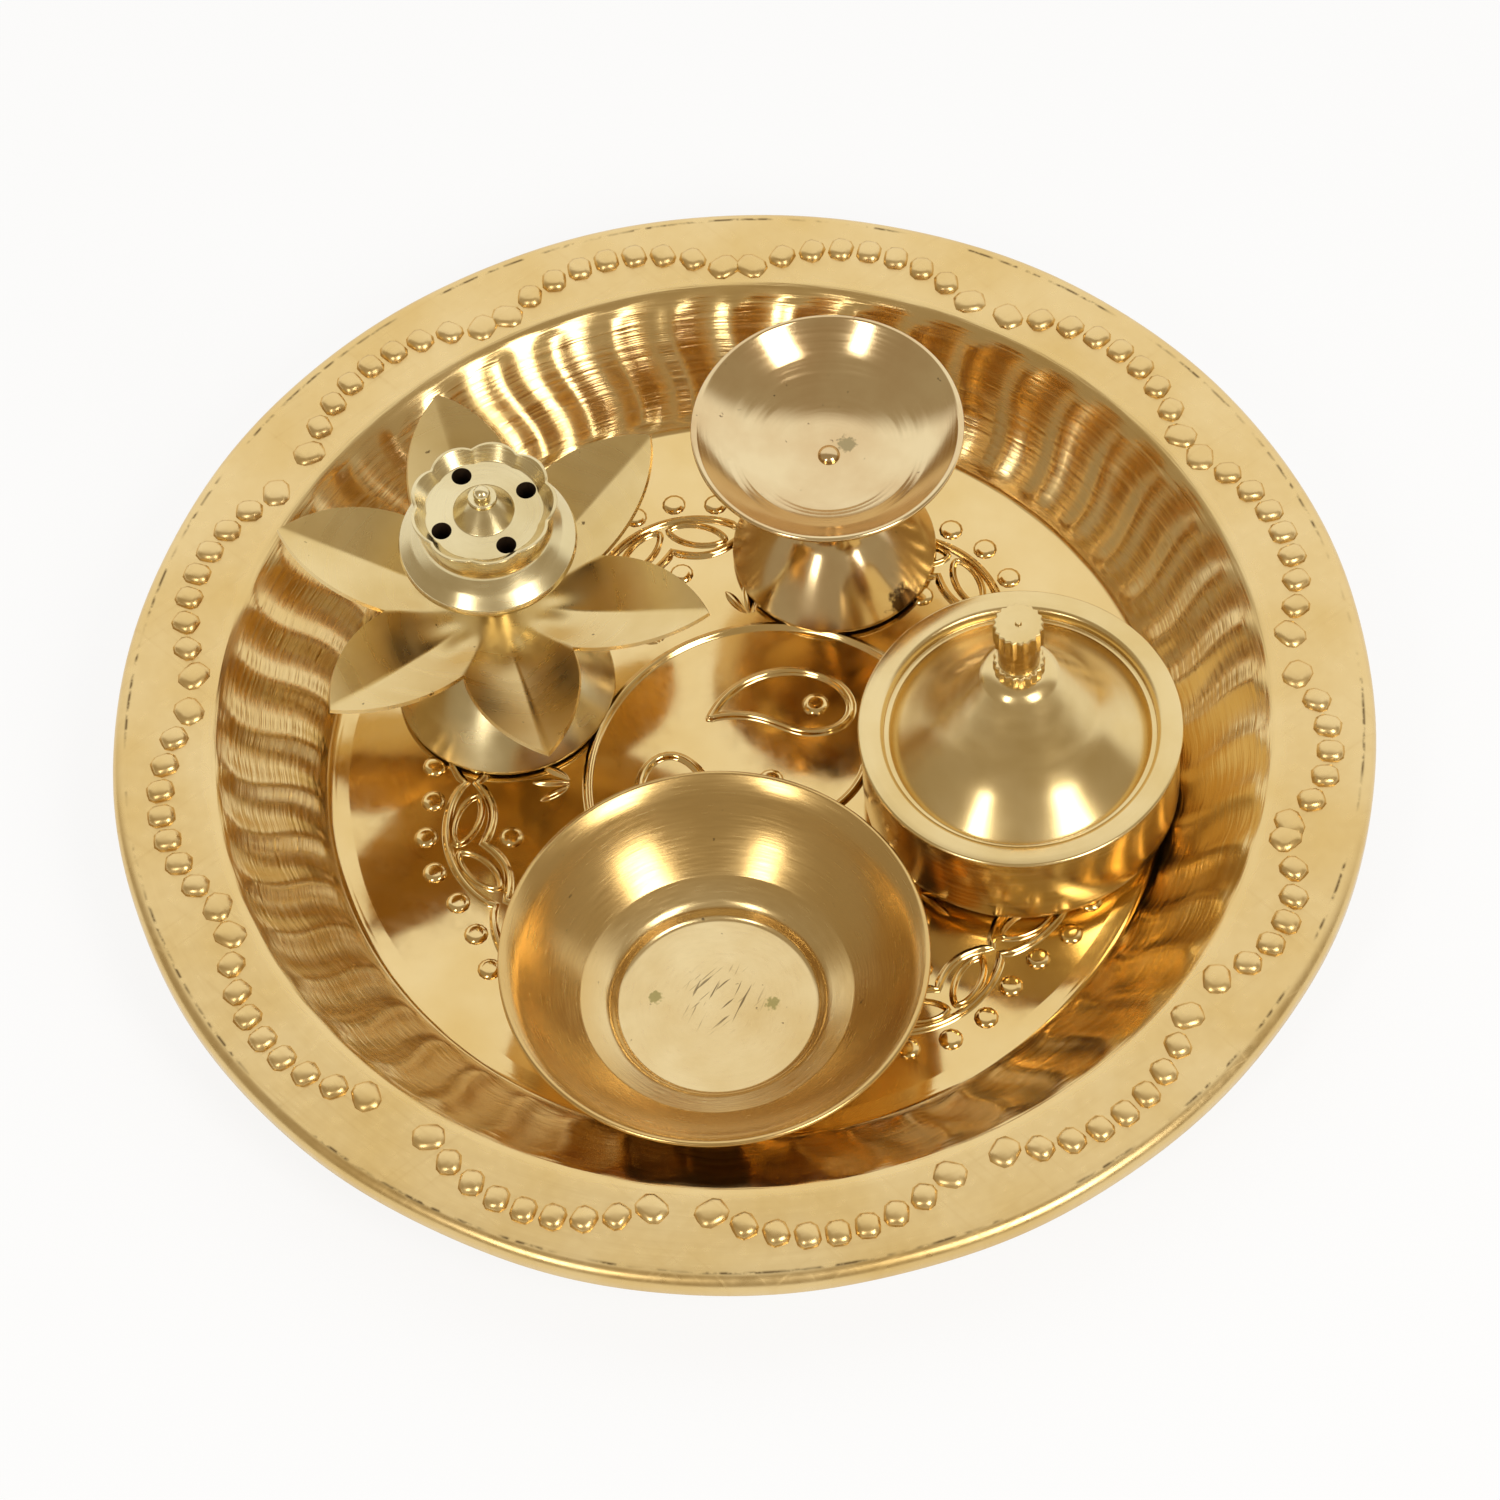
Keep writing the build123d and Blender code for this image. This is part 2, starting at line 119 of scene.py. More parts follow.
class PlateSizes(bpy.types.PropertyGroup):
    """Sizes of the plate."""
    sheet: length("Sheet", "Gauge of the plate's sheet", 0.8)
    wall_height: length("Wall height", "Rise of the wall above the floor", 13.9)
    wall_slope: angle("Wall slope", "Slope of the wall above the floor", 42.7)
    foot_curve: length("Foot curve", "Bend between floor and wall", 2.0)
    rim_width: length("Rim width", "Width of the rim outside the wall", 13.9)
    rim_drop: length("Rim drop", "Fall of the rim towards its lip", 0.8)
    rim_curve: length("Rim curve", "Bend between wall and rim", 2.2)
    lip_height: length("Lip height", "Height of the turned-down lip", 2.4)
    lip_curve: length("Lip curve", "Bend between rim and lip", 1.4)
    flute_count: number("Flutes", "Flutes round the wall", 50)
    flute_height: length("Flute height", "Height of a flute's crest", 0.5)
    flute_sway: length("Flute sway", "How far a flute sways to each side", 1.0)
    bead_radius: length("Rim bead", "Radius of a bead of the rim", 1.82)
    bead_height: length("Rim bead height", "Height of a bead of the rim", 1.1)
    bead_pitch: length("Rim bead pitch", "Distance between beads of the rim", 4.1)
    bead_inset: length("Rim bead inset", "Distance of an arc's middle from the lip", 6.2)
    arc_bow: length("Arc bow", "How far an arc of beads bows outwards", 4.2)


class ReliefSizes(bpy.types.PropertyGroup):
    """Sizes of the raised pattern on the plate's floor."""
    shift_x: length("Shift X", "Place of the pattern's middle", 3.3)
    shift_y: length("Shift Y", "Place of the pattern's middle", -1.9)
    azimuth: angle("Azimuth", "Turn of the border", 22.8)
    height: length("Height", "Height of the raised lines", 0.58)
    line_width: length("Line", "Width of the raised lines", 1.5)
    medallion_radius: length("Medallion", "Radius of the ring round the medallion", 26.0)
    scallops: number("Scallops", "Scallops of the border", 13)
    outer_radius: length("Outer line", "Radius of the border's outer line", 46.7)
    outer_dip: length("Outer dip", "Fall of the outer line between two scallops", 3.4)
    inner_radius: length("Inner line", "Radius of the border's inner line", 39.6)
    inner_dip: length("Inner dip", "Notch of the inner line in a scallop's middle", 2.1)
    leaf_length: length("Leaf length", "Length of a leaf loop", 8.4)
    leaf_width: length("Leaf width", "Width of a leaf loop", 3.4)
    leaf_radius: length("Leaf radius", "Radius of the ring of leaves", 43.3)
    leaf_lean: angle("Leaf lean", "Lean of a leaf against the ring", 26)
    bead_radius: length("Floor bead", "Radius of a bead of the floor", 1.75)
    bead_height: length("Floor bead height", "Height of a bead of the floor", 0.55)


class IncenseSizes(bpy.types.PropertyGroup):
    """Sizes of the incense holder."""
    gauge: length("Gauge", "Gauge of the cone foot", 0.9)
    foot_radius: length("Foot", "Radius of the cone foot", 15.5)
    neck_radius: length("Neck", "Radius of the foot's neck", 3.4)
    neck_length: length("Neck length", "Length of the foot's neck", 10.0)
    neck_curve: length("Neck curve", "Bend between neck and cone", 8.0)
    base_height: length("Base height", "Height of the cone foot", 21.4)
    petals: number("Petals", "Petals of the flower", 6)
    petal_azimuth: angle("Petal azimuth", "Turn of the flower", 41.5)
    petal_gauge: length("Petal gauge", "Gauge of the flower's sheet", 0.6)
    petal_reach: length("Petal reach", "Radius of the flower over its tips", 31.4)
    petal_rise: length("Petal rise", "Rise of a petal's tip above the hub", 8.4)
    petal_width: length("Petal width", "Width of a petal at its belly", 14.0)
    notch_radius: length("Notch", "Radius of the notch between two petals", 15.8)
    hub_radius: length("Hub", "Radius of the flower's flat hub", 6.0)
    crease: FloatProperty(name="Crease", description="Slope of a petal's halves", default=0.26)
    flange_radius: length("Flange", "Radius of the cup's flange", 12.5)
    flange_height: length("Flange height", "Height of the flange above the flower", 16.0)
    waist_radius: length("Waist", "Radius of the cup's waist", 8.9)
    waist_height: length("Waist height", "Height of the waist above the flower", 19.6)
    rim_radius: length("Rim", "Radius of the lobed rim", 10.3)
    rim_height: length("Rim height", "Height of the lobed rim above the flower", 24.6)
    well_radius: length("Well", "Radius of the cup's well", 8.2)
    well_height: length("Well height", "Height of the well's floor above the flower", 22.7)
    lobes: number("Lobes", "Lobes of the rim", 9)
    lobe_azimuth: angle("Lobe azimuth", "Azimuth of a notch between two lobes", 97)
    holes: number("Holes", "Stick holes", 4)
    hole_radius: length("Hole", "Radius of a stick hole", 1.4)
    hole_depth: length("Hole depth", "Depth of a stick hole", 5.0)
    hole_circle: length("Hole circle", "Radius of the circle of stick holes", 6.6)
    hole_azimuth: angle("Hole azimuth", "Azimuth of a stick hole", 25)


class LampSizes(bpy.types.PropertyGroup):
    """Sizes of the oil lamp."""
    gauge: length("Gauge", "Gauge of pedestal and dish", 0.9)
    foot_radius: length("Foot", "Radius of the pedestal's foot", 14.7)
    neck_radius: length("Neck", "Radius of the pedestal's neck", 4.6)
    height: length("Height", "Height of the pedestal", 23.2)
    neck_length: length("Neck length", "Length of the pedestal's neck", 12.9)
    neck_curve: length("Neck curve", "Bend between neck and cone", 8.0)
    rim_radius: length("Rim", "Radius of the dish", 19.3)
    depth: length("Depth", "Depth of the dish", 7.3)
    floor_radius: length("Floor", "Radius at which the dish's floor and flank would meet", 12.3)
    bowl_curve: length("Bowl curve", "Bend of the dish's bowl", 21.5)
    rivet_radius: length("Rivet", "Radius of the rivet", 1.0)
    head_radius: length("Rivet head", "Radius of the rivet's head", 1.6)
    head_height: length("Rivet head height", "Height of the rivet's head", 1.0)
    tail_radius: length("Rivet tail", "Radius of the rivet's tail", 1.9)
    tail_height: length("Rivet tail height", "Height of the rivet's tail", 0.8)


class BowlSizes(bpy.types.PropertyGroup):
    """Sizes of the bowl."""
    gauge: length("Gauge", "Gauge of the bowl", 0.9)
    floor_radius: length("Floor", "Radius of the floor", 14.3)
    floor_curve: length("Floor curve", "Bend between floor and riser", 1.5)
    step_radius: length("Step", "Radius of the riser's upper edge", 15.4)
    step_height: length("Step height", "Height of the riser's upper edge", 2.6)
    step_curve: length("Step curve", "Bend between riser and ledge", 2.0)
    ledge_radius: length("Ledge", "Outer radius of the ledge", 19.2)
    ledge_height: length("Ledge height", "Height of the ledge's outer edge", 4.1)
    ledge_curve: length("Ledge curve", "Bend between ledge and flare", 1.5)
    belly_radius: length("Belly", "Radius at which the wall turns steeper", 24.6)
    belly_height: length("Belly height", "Height at which the wall turns steeper", 8.7)
    belly_curve: length("Belly curve", "Bend of the belly", 25.0)
    lip_radius: length("Lip", "Radius at which the lip turns out", 27.7)
    lip_height: length("Lip height", "Height at which the lip turns out", 13.0)
    lip_curve: length("Lip curve", "Bend between wall and lip", 8.0)
    rim_radius: length("Rim", "Radius of the rim", 29.8)
    height: length("Height", "Height of the bowl", 15.0)


class BoxSizes(bpy.types.PropertyGroup):
    """Sizes of the powder box and its lid."""
    gauge: length("Gauge", "Gauge of the body", 0.9)
    radius: length("Radius", "Radius of the body", 22.3)
    height: length("Height", "Height of the body", 16.4)
    corner: length("Corner", "Bend between floor and wall", 3.0)
    lid_gauge: length("Lid gauge", "Gauge of the lid", 0.8)
    overhang: length("Overhang", "How far the flange stands over the body", 0.4)
    ring_gap: length("Ring gap", "Play of the lid's ring in the body", 1.5)
    ring_depth: length("Ring depth", "Depth of the lid's ring", 1.6)
    groove_width: length("Groove", "Width of the groove inside the flange", 1.3)
    groove_curve: length("Groove curve", "Bends of the groove", 0.6)
    dome_height: length("Dome height", "Height of the lid's dome", 15.4)
    flare_inset: length("Flare inset", "Step from the groove to the dome's flare", 6.2)
    flare_height: length("Flare height", "Height of the dome's flare", 4.6)
    flare_curve: length("Flare curve", "Bend of the dome's flare", 20.0)
    crown_radius: length("Crown", "Radius of the flat crown", 4.4)
    crown_curve: length("Crown curve", "Bend of the crown", 3.0)
    screw_hole: length("Screw hole", "Radius of the hole for the knob's screw", 1.35)
    knob_teeth: number("Teeth", "Teeth of the knob's knurling", 20)
    tooth_depth: length("Tooth depth", "Depth of a tooth", 0.35)
    knob_foot_radius: length("Knob foot", "Radius of the knob's foot", 3.6)
    knob_foot_height: length("Knob foot height", "Height of the knob's foot", 2.2)
    knob_waist_radius: length("Knob waist", "Radius of the knob's waist", 2.9)
    knob_top_radius: length("Knob top", "Radius of the knob's head", 3.5)
    knob_top_height: length("Knob top height", "Height of the knob's head", 4.2)
    knob_height: length("Knob height", "Height of the knob", 11.0)
    pip_radius: length("Pip", "Radius of the pip on the knob", 0.5)
    pip_height: length("Pip height", "Height of the pip on the knob", 0.4)


class FinishColours(bpy.types.PropertyGroup):
    """Colours of the brass finishes."""
    plate: tone("Plate", "Polished yellow brass of the plate", "#E6CA90")
    plate_deep: tone("Plate, deep", "Deeper patches of the plate", "#DDBC7A")
    flower: tone("Flower", "Stamped brass of the flower", "#E4CB92")
    flower_deep: tone("Flower, deep", "Greener patches of the flower", "#D8BB7C")
    turned: tone("Turned brass", "Bright turned brass of the incense holder", "#E5D5A8")
    turned_deep: tone("Turned brass, deep", "Darker turning marks", "#D6C290")
    lamp: tone("Lamp", "Rosy brass of the oil lamp", "#E6D0A2")
    lamp_deep: tone("Lamp, deep", "Darker turning marks of the lamp", "#D6B888")
    bowl: tone("Bowl", "Satin brass of the bowl", "#E6CE9A")
    bowl_deep: tone("Bowl, deep", "Darker brushing of the bowl", "#D8BA80")
    # Painted reflection: the bowl's wall is drawn darker, standing for the gold inside of the bowl that it
    # mirrors
    bowl_wall_painted_reflection: tone("Bowl wall", "Painted-reflection brass of the bowl's wall", "#D2AE6C")
    box: tone("Box", "Polished brass of the powder box", "#E6CE98")
    box_deep: tone("Box, deep", "Deeper patches of the powder box", "#DBBF82")
    # Real tarnish in specks, stains, scratches and along the lip; inside the stick holes it is also mixed
    # into their painted shade
    tarnish_and_shade: tone("Tarnish", "Brown tarnish in corners and along edges", "#4A3217")
    verdigris: tone("Verdigris", "Greenish spots on the bowl's floor", "#8F8448")
    # Painted shade: a near-black colour for the shade deep inside the stick holes
    painted_hole_shade: tone("Painted shade", "Soot in the stick holes", "#120D09")
    solder: tone("Solder", "Grey solder beside the rivet", "#9A8A62")
    floor: tone("Floor", "Pale floor of the stage", "#F4F3F1")


class ThaliSettings(bpy.types.PropertyGroup):
    """All sizes and colours of the thali."""
    plate: PointerProperty(type=PlateSizes)
    relief: PointerProperty(type=ReliefSizes)
    incense: PointerProperty(type=IncenseSizes)
    lamp: PointerProperty(type=LampSizes)
    bowl: PointerProperty(type=BowlSizes)
    box: PointerProperty(type=BoxSizes)
    colours: PointerProperty(type=FinishColours)


# Places of the articles, from the frame
def axis_of(node):
    """Point on the floor below the middle of a CAD node that was turned or spun."""
    low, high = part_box(node)
    return Vector(((low.x + high.x) / 2, (low.y + high.y) / 2, 0))


def foot_of(node):
    """Height of a CAD node's lowest point."""
    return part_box(node)[0].z


def plate_radius():
    """Radius of the plate over its lip."""
    low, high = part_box("thali_plate")
    return (high.x - low.x) / 2


# Half sections: points as radius and height
def left_of(run):
    """Direction square to a run, on its left."""
    return Vector((-run.y, run.x))


def rounded(corners, bends):
    """Points of a line through corners, with each inner corner rounded to its bend."""
    corners = [Vector(corner) for corner in corners]
    points = corners[:1]
    for before, corner, after, bend in zip(corners, corners[1:], corners[2:], bends):
        back = (before - corner).normalized()
        onward = (after - corner).normalized()
        opening = back.angle(onward)
        turn = math.pi - opening
        if bend <= 0 or turn < math.radians(1):
            points.append(corner)
            continue
        centre = corner + (back + onward).normalized() * (bend / math.sin(opening / 2))
        start = corner + back * (bend / math.tan(opening / 2)) - centre
        side = math.copysign(1, left_of(-back).dot(onward))
        steps = max(2, math.ceil(turn / ARC_STEP))
        for step in range(steps + 1):
            points.append(centre + Matrix.Rotation(side * turn * step / steps, 2) @ start)
    points.append(corners[-1])
    return points


def domed(radius, height, centre, start=0.0, steps=8):
    """Points that follow an upright ellipse from just past a starting angle to its top on the axis."""
    turns = [start + (math.pi / 2 - start) * step / steps for step in range(1, steps)]
    arc = [Vector((radius * math.cos(turn), centre + height * math.sin(turn))) for turn in turns]
    return arc + [Vector((0, centre + height))]


def sheet_sides(path, bends, gauge):
    """Both faces of a spun sheet, from the corners and bends of its middle line."""
    path = [Vector(corner) for corner in path]
    runs = [(end - start).normalized() for start, end in pairwise(path)]
    sides = []
    for shift in (gauge / 2, -gauge / 2):
        corners = [
            corner + (left_of(before) + left_of(after)) * (shift / (1 + before.dot(after)))
            for corner, before, after in zip(path, runs[:1] + runs, runs + runs[-1:])
        ]
        radii = [
            bend - shift * math.copysign(1, left_of(before).dot(after))
            for bend, before, after in zip(bends, runs, runs[1:])
        ]
        sides.append(rounded(corners, radii))
    return sides


def round_edge(start, end, steps=5):
    """Half circle from one face of a sheet to the other."""
    middle = (start + end) / 2
    turns = [-math.pi * step / steps for step in range(1, steps)]
    return [middle + Matrix.Rotation(turn, 2) @ (start - middle) for turn in turns]


def sheet_section(path, bends, gauge):
    """Half section of a spun sheet: its left face, its round edge and its right face."""
    left, right = sheet_sides(path, bends, gauge)
    section = left + round_edge(left[-1], right[-1]) + right[::-1]
    return section if path[0][0] == 0 else section + section[:1]


def cone_section(sizes, height, shoulder, hole):
    """Half section of a hollow cone foot with a neck and a flat top."""
    middle = sizes.gauge / 2
    top, neck = height - middle, sizes.neck_radius - middle
    path = [(hole, top), (neck, top), (neck, top - sizes.neck_length), (sizes.foot_radius - middle, middle)]
    return sheet_section(path, [shoulder, sizes.neck_curve], sizes.gauge)


def divided(points, low, high, longest):
    """Points of a line, with the runs between two radii cut into stretches no longer than longest."""
    result = points[:1]
    for start, end in pairwise(points):
        inside = low <= min(start.x, end.x) and max(start.x, end.x) <= high
        parts = math.ceil((end - start).length / longest) if inside else 1
        result += [start.lerp(end, part / parts) for part in range(1, parts + 1)]
    return result


# Modelling
def deselect():
    """Leaves edit mode and deselects everything."""
    if bpy.context.object and bpy.context.object.mode != "OBJECT":
        bpy.ops.object.mode_set(mode="OBJECT")
    bpy.ops.object.select_all(action="DESELECT")


def pick(*pieces):
    """Selects pieces alone, the first of them active."""
    deselect()
    for piece in pieces:
        piece.select_set(True)
    bpy.context.view_layer.objects.active = pieces[0]


def spun(name, section, axis, steps, height=0.0):
    """Piece turned about an upright axis: its half section is drawn point by point and spun."""
    places = [axis + Vector((point.x, 0, point.y + height)) for point in section]
    deselect()
    bpy.ops.mesh.primitive_plane_add(size=MM)
    piece = bpy.context.object
    piece.name = piece.data.name = name
    bpy.ops.object.mode_set(mode="EDIT")
    bpy.ops.mesh.merge(type="CENTER")
    bpy.ops.transform.translate(value=places[0])
    for here, there in pairwise(places):
        bpy.ops.mesh.extrude_region_move(TRANSFORM_OT_translate={"value": there - here})
    bpy.ops.mesh.select_all(action="SELECT")
    bpy.ops.mesh.spin(steps=steps, angle=math.tau, center=axis, axis=(0, 0, 1))
    tidy_mesh(piece)
    return piece


def tidy_mesh(piece):
    """Merges doubles and points the faces outwards."""
    pick(piece)
    bpy.ops.object.mode_set(mode="EDIT")
    bpy.ops.mesh.select_all(action="SELECT")
    bpy.ops.mesh.remove_doubles(threshold=MERGE_DISTANCE)
    bpy.ops.mesh.normals_make_consistent(inside=False)
    bpy.ops.object.mode_set(mode="OBJECT")


def points_of(piece):
    """Vertices of a piece as an array."""
    points = np.empty(3 * len(piece.data.vertices), np.float32)
    piece.data.vertices.foreach_get("co", points)
    return points.reshape(-1, 3).astype(float)


def move_points(piece, points):
    """Gives the vertices of a piece their new places."""
    piece.data.vertices.foreach_set("co", points.astype(np.float32).ravel())
    piece.data.update()


def to_polar(points):
    """Radius and azimuth of points in plan."""
    return np.hypot(points[:, 0], points[:, 1]), np.arctan2(points[:, 1], points[:, 0])


def from_polar(radius, azimuth, *height):
    """Points from their radius and azimuth in plan, and their height where it is given."""
    return np.stack((radius * np.cos(azimuth), radius * np.sin(azimuth), *height), 1)


def smoothstep(low, high, value):
    """Rises smoothly from 0 at low to 1 at high."""
    share = np.clip((value - low) / (high - low), 0, 1)
    return share * share * (3 - 2 * share)


def modify(piece, kind, **settings):
    """Adds a modifier to a piece and applies it."""
    pick(piece)
    modifier = piece.modifiers.new(kind.title(), kind)
    for key, value in settings.items():
        setattr(modifier, key, value)
    bpy.ops.object.modifier_apply(modifier=modifier.name)


def copies(pattern, places):
    """Copies of a piece, each with its own mesh, moved by the given matrices."""
    made = []
    for place in places:
        mesh = pattern.data.copy()
        mesh.transform(place)
        copy = bpy.data.objects.new(pattern.name, mesh)
        bpy.context.collection.objects.link(copy)
        made.append(copy)
    bpy.data.objects.remove(pattern)
    return made


def joined(pieces):
    """One piece made of several."""
    pick(*pieces)
    bpy.ops.object.join()
    return pieces[0]


def settle(piece, material, body, node):
    """Finishes a piece: smooth shading, its material, its body and the solid that it stands for."""
    pick(piece)
    bpy.ops.object.shade_smooth_by_angle(angle=SHARP_ANGLE)
    if not piece.data.materials:
        piece.data.materials.append(material)
    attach(piece, body)
    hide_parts(node)


# Materials
def add(tree, kind, inputs=(), **settings):
    """Adds a node and gives its outputs: inputs are values or links, by socket or in order."""
    node = tree.nodes.new("ShaderNode" + kind)
    for key, value in settings.items():
        setattr(node, key, value)
    for key, value in inputs.items() if isinstance(inputs, dict) else enumerate(inputs):
        if isinstance(value, bpy.types.NodeSocket):
            tree.links.new(value, node.inputs[key])
        else:
            node.inputs[key].default_value = value
    return node.outputs


def emptied(owner):
    """Clears the nodes of a new material or world and gives the function that adds to them."""
    owner.use_nodes = True
    owner.node_tree.nodes.clear()
    return partial(add, owner.node_tree)


def turned_coordinates(node, axis):
    """Position about an upright axis: place, radius, way along the section and direction from the axis."""
    place = node("TexCoord")["Object"]
    centred = node("VectorMath", (place, axis), operation="SUBTRACT")["Vector"]
    flat = node("VectorMath", (centred, (1, 1, 0)), operation="MULTIPLY")["Vector"]
    radius = node("VectorMath", (flat,), operation="LENGTH")["Value"]
    height = node("SeparateXYZ", (centred,))["Z"]
    along = node("Math", (radius, height), operation="ADD")[0]
    around = node("VectorMath", (flat,), operation="NORMALIZE")["Vector"]
    return place, radius, along, around


def ring_marks(node, along, around, spacing, arcs):
    """Noise drawn out round the axis into ring marks: their spacing in metres, arcs to a radian."""
    level = node("Math", (along, 1 / spacing), operation="MULTIPLY")[0]
    turned = node("VectorMath", {0: around, "Scale": arcs}, operation="SCALE")["Vector"]
    lift = node("CombineXYZ", {"Z": level})[0]
    spot = node("VectorMath", (turned, lift), operation="ADD")["Vector"]
    return node("TexNoise", {"Vector": spot, "Scale": 1.0, "Detail": 3.0})["Fac"]


def stain(node, place, centre, reach, strength):
    """Cover of a ragged stain: its middle and reach in metres."""
    apart = node("VectorMath", (place, centre), operation="DISTANCE")["Value"]
    ragged = node("TexNoise", {"Vector": place, "Scale": 2.5 / reach, "Detail": 4.0})["Fac"]
    spread = node("MapRange", (ragged, 0.3, 0.7, -0.3 * reach, 0.3 * reach))[0]
    edge = node("Math", (apart, spread), operation="ADD")[0]
    return node("MapRange", (edge, 0.6 * reach, 0.9 * reach, strength, 0))[0]


def hairlines(node, place, turn, run, spacing):
    """Mask of fine scratches in one direction of the plan, drawn coarser than real ones so that they show."""
    stretch = {"Vector": place, "Rotation": (0, 0, turn), "Scale": (run, spacing, run)}
    lines = node("Mapping", stretch, vector_type="TEXTURE")[0]
    noise = node("TexNoise", {"Vector": lines, "Scale": 1.0, "Detail": 1.0})["Fac"]
    return node("MapRange", (noise, 0.66, 0.72, 0, 1))[0]


def brass(name, bright, deep, axis, roughness, spacing, depth, arcs=1.5, dents=0.03 * MM, specks=None,
          stains=(), scored=None, painted_wall_reflection=None):
    """Bare brass that was spun or turned about an upright axis, with fine ring marks and uneven polish.

    The eye sees a warm mirror, broken by hairlines round the axis, cloudy patches of deeper colour and a
    polish that isn't the same everywhere. The ring marks are drawn coarser than the real ones, so that they
    show. Dents are how far the sheet wavers; scored is the middle and the reach of a patch of scratches and
    their colour; the painted reflection of a wall is given as the radius at which its deeper colour starts,
    that at which it is full, and its value.
    """
    cloud_size, speck_size, dent_size = 12 * MM, 1.4 * MM, 7 * MM
    scratch_run, scratch_spacing, scratch_turns = 5 * MM, 0.45 * MM, (0.7, 1.1)
    material = bpy.data.materials.new(name)
    node = emptied(material)
    place, radius, along, around = turned_coordinates(node, axis)
    clouds = node("TexNoise", {"Vector": place, "Scale": 1 / cloud_size, "Detail": 4.0})["Fac"]
    layers = [(node("MapRange", (clouds, 0.35, 0.7, 0, 1))[0], deep)]
    # Painted reflection: a deeper colour outward of a radius, for a wall that mirrors the gold inside
    if painted_wall_reflection:
        start, full, shade = painted_wall_reflection
        layers.append((node("MapRange", (radius, start, full, 0, 0.8))[0], shade))
    if specks:
        grit = node("TexNoise", {"Vector": place, "Scale": 1 / speck_size, "Detail": 4.0})["Fac"]
        layers.append((node("MapRange", (grit, 0.72, 0.77, 0, 0.8))[0], specks))
    for centre, reach, shade, strength in stains:
        layers.append((stain(node, place, centre, reach, strength), shade))
    if scored:
        centre, reach, shade = scored
        apart = node("VectorMath", (place, centre), operation="DISTANCE")["Value"]
        patch = node("MapRange", (apart, 0.5 * reach, reach, 0.75, 0))[0]
        for turn in scratch_turns:
            lines = hairlines(node, place, turn, scratch_run, scratch_spacing)
            layers.append((node("Math", (lines, patch), operation="MULTIPLY")[0], shade))
    colour = bright
    for cover, shade in layers:
        colour = node("Mix", {0: cover, 6: colour, 7: shade}, data_type="RGBA")[2]
    marks = ring_marks(node, along, around, spacing, arcs)
    wobble = node("TexNoise", {"Vector": place, "Scale": 1 / dent_size, "Detail": 1.0})["Fac"]
    sheet = node("Bump", {"Height": wobble, "Strength": 1.0, "Distance": dents})[0]
    shader = node("BsdfPrincipled", {
        "Base Color": colour,
        "Metallic": 1.0,
        "Roughness": node("MapRange", (marks, 0.3, 0.7, *roughness))[0],
        "Normal": node("Bump", {"Height": marks, "Strength": 1.0, "Distance": depth, "Normal": sheet})[0],
    })[0]
    node("OutputMaterial", {"Surface": shader})
    return material


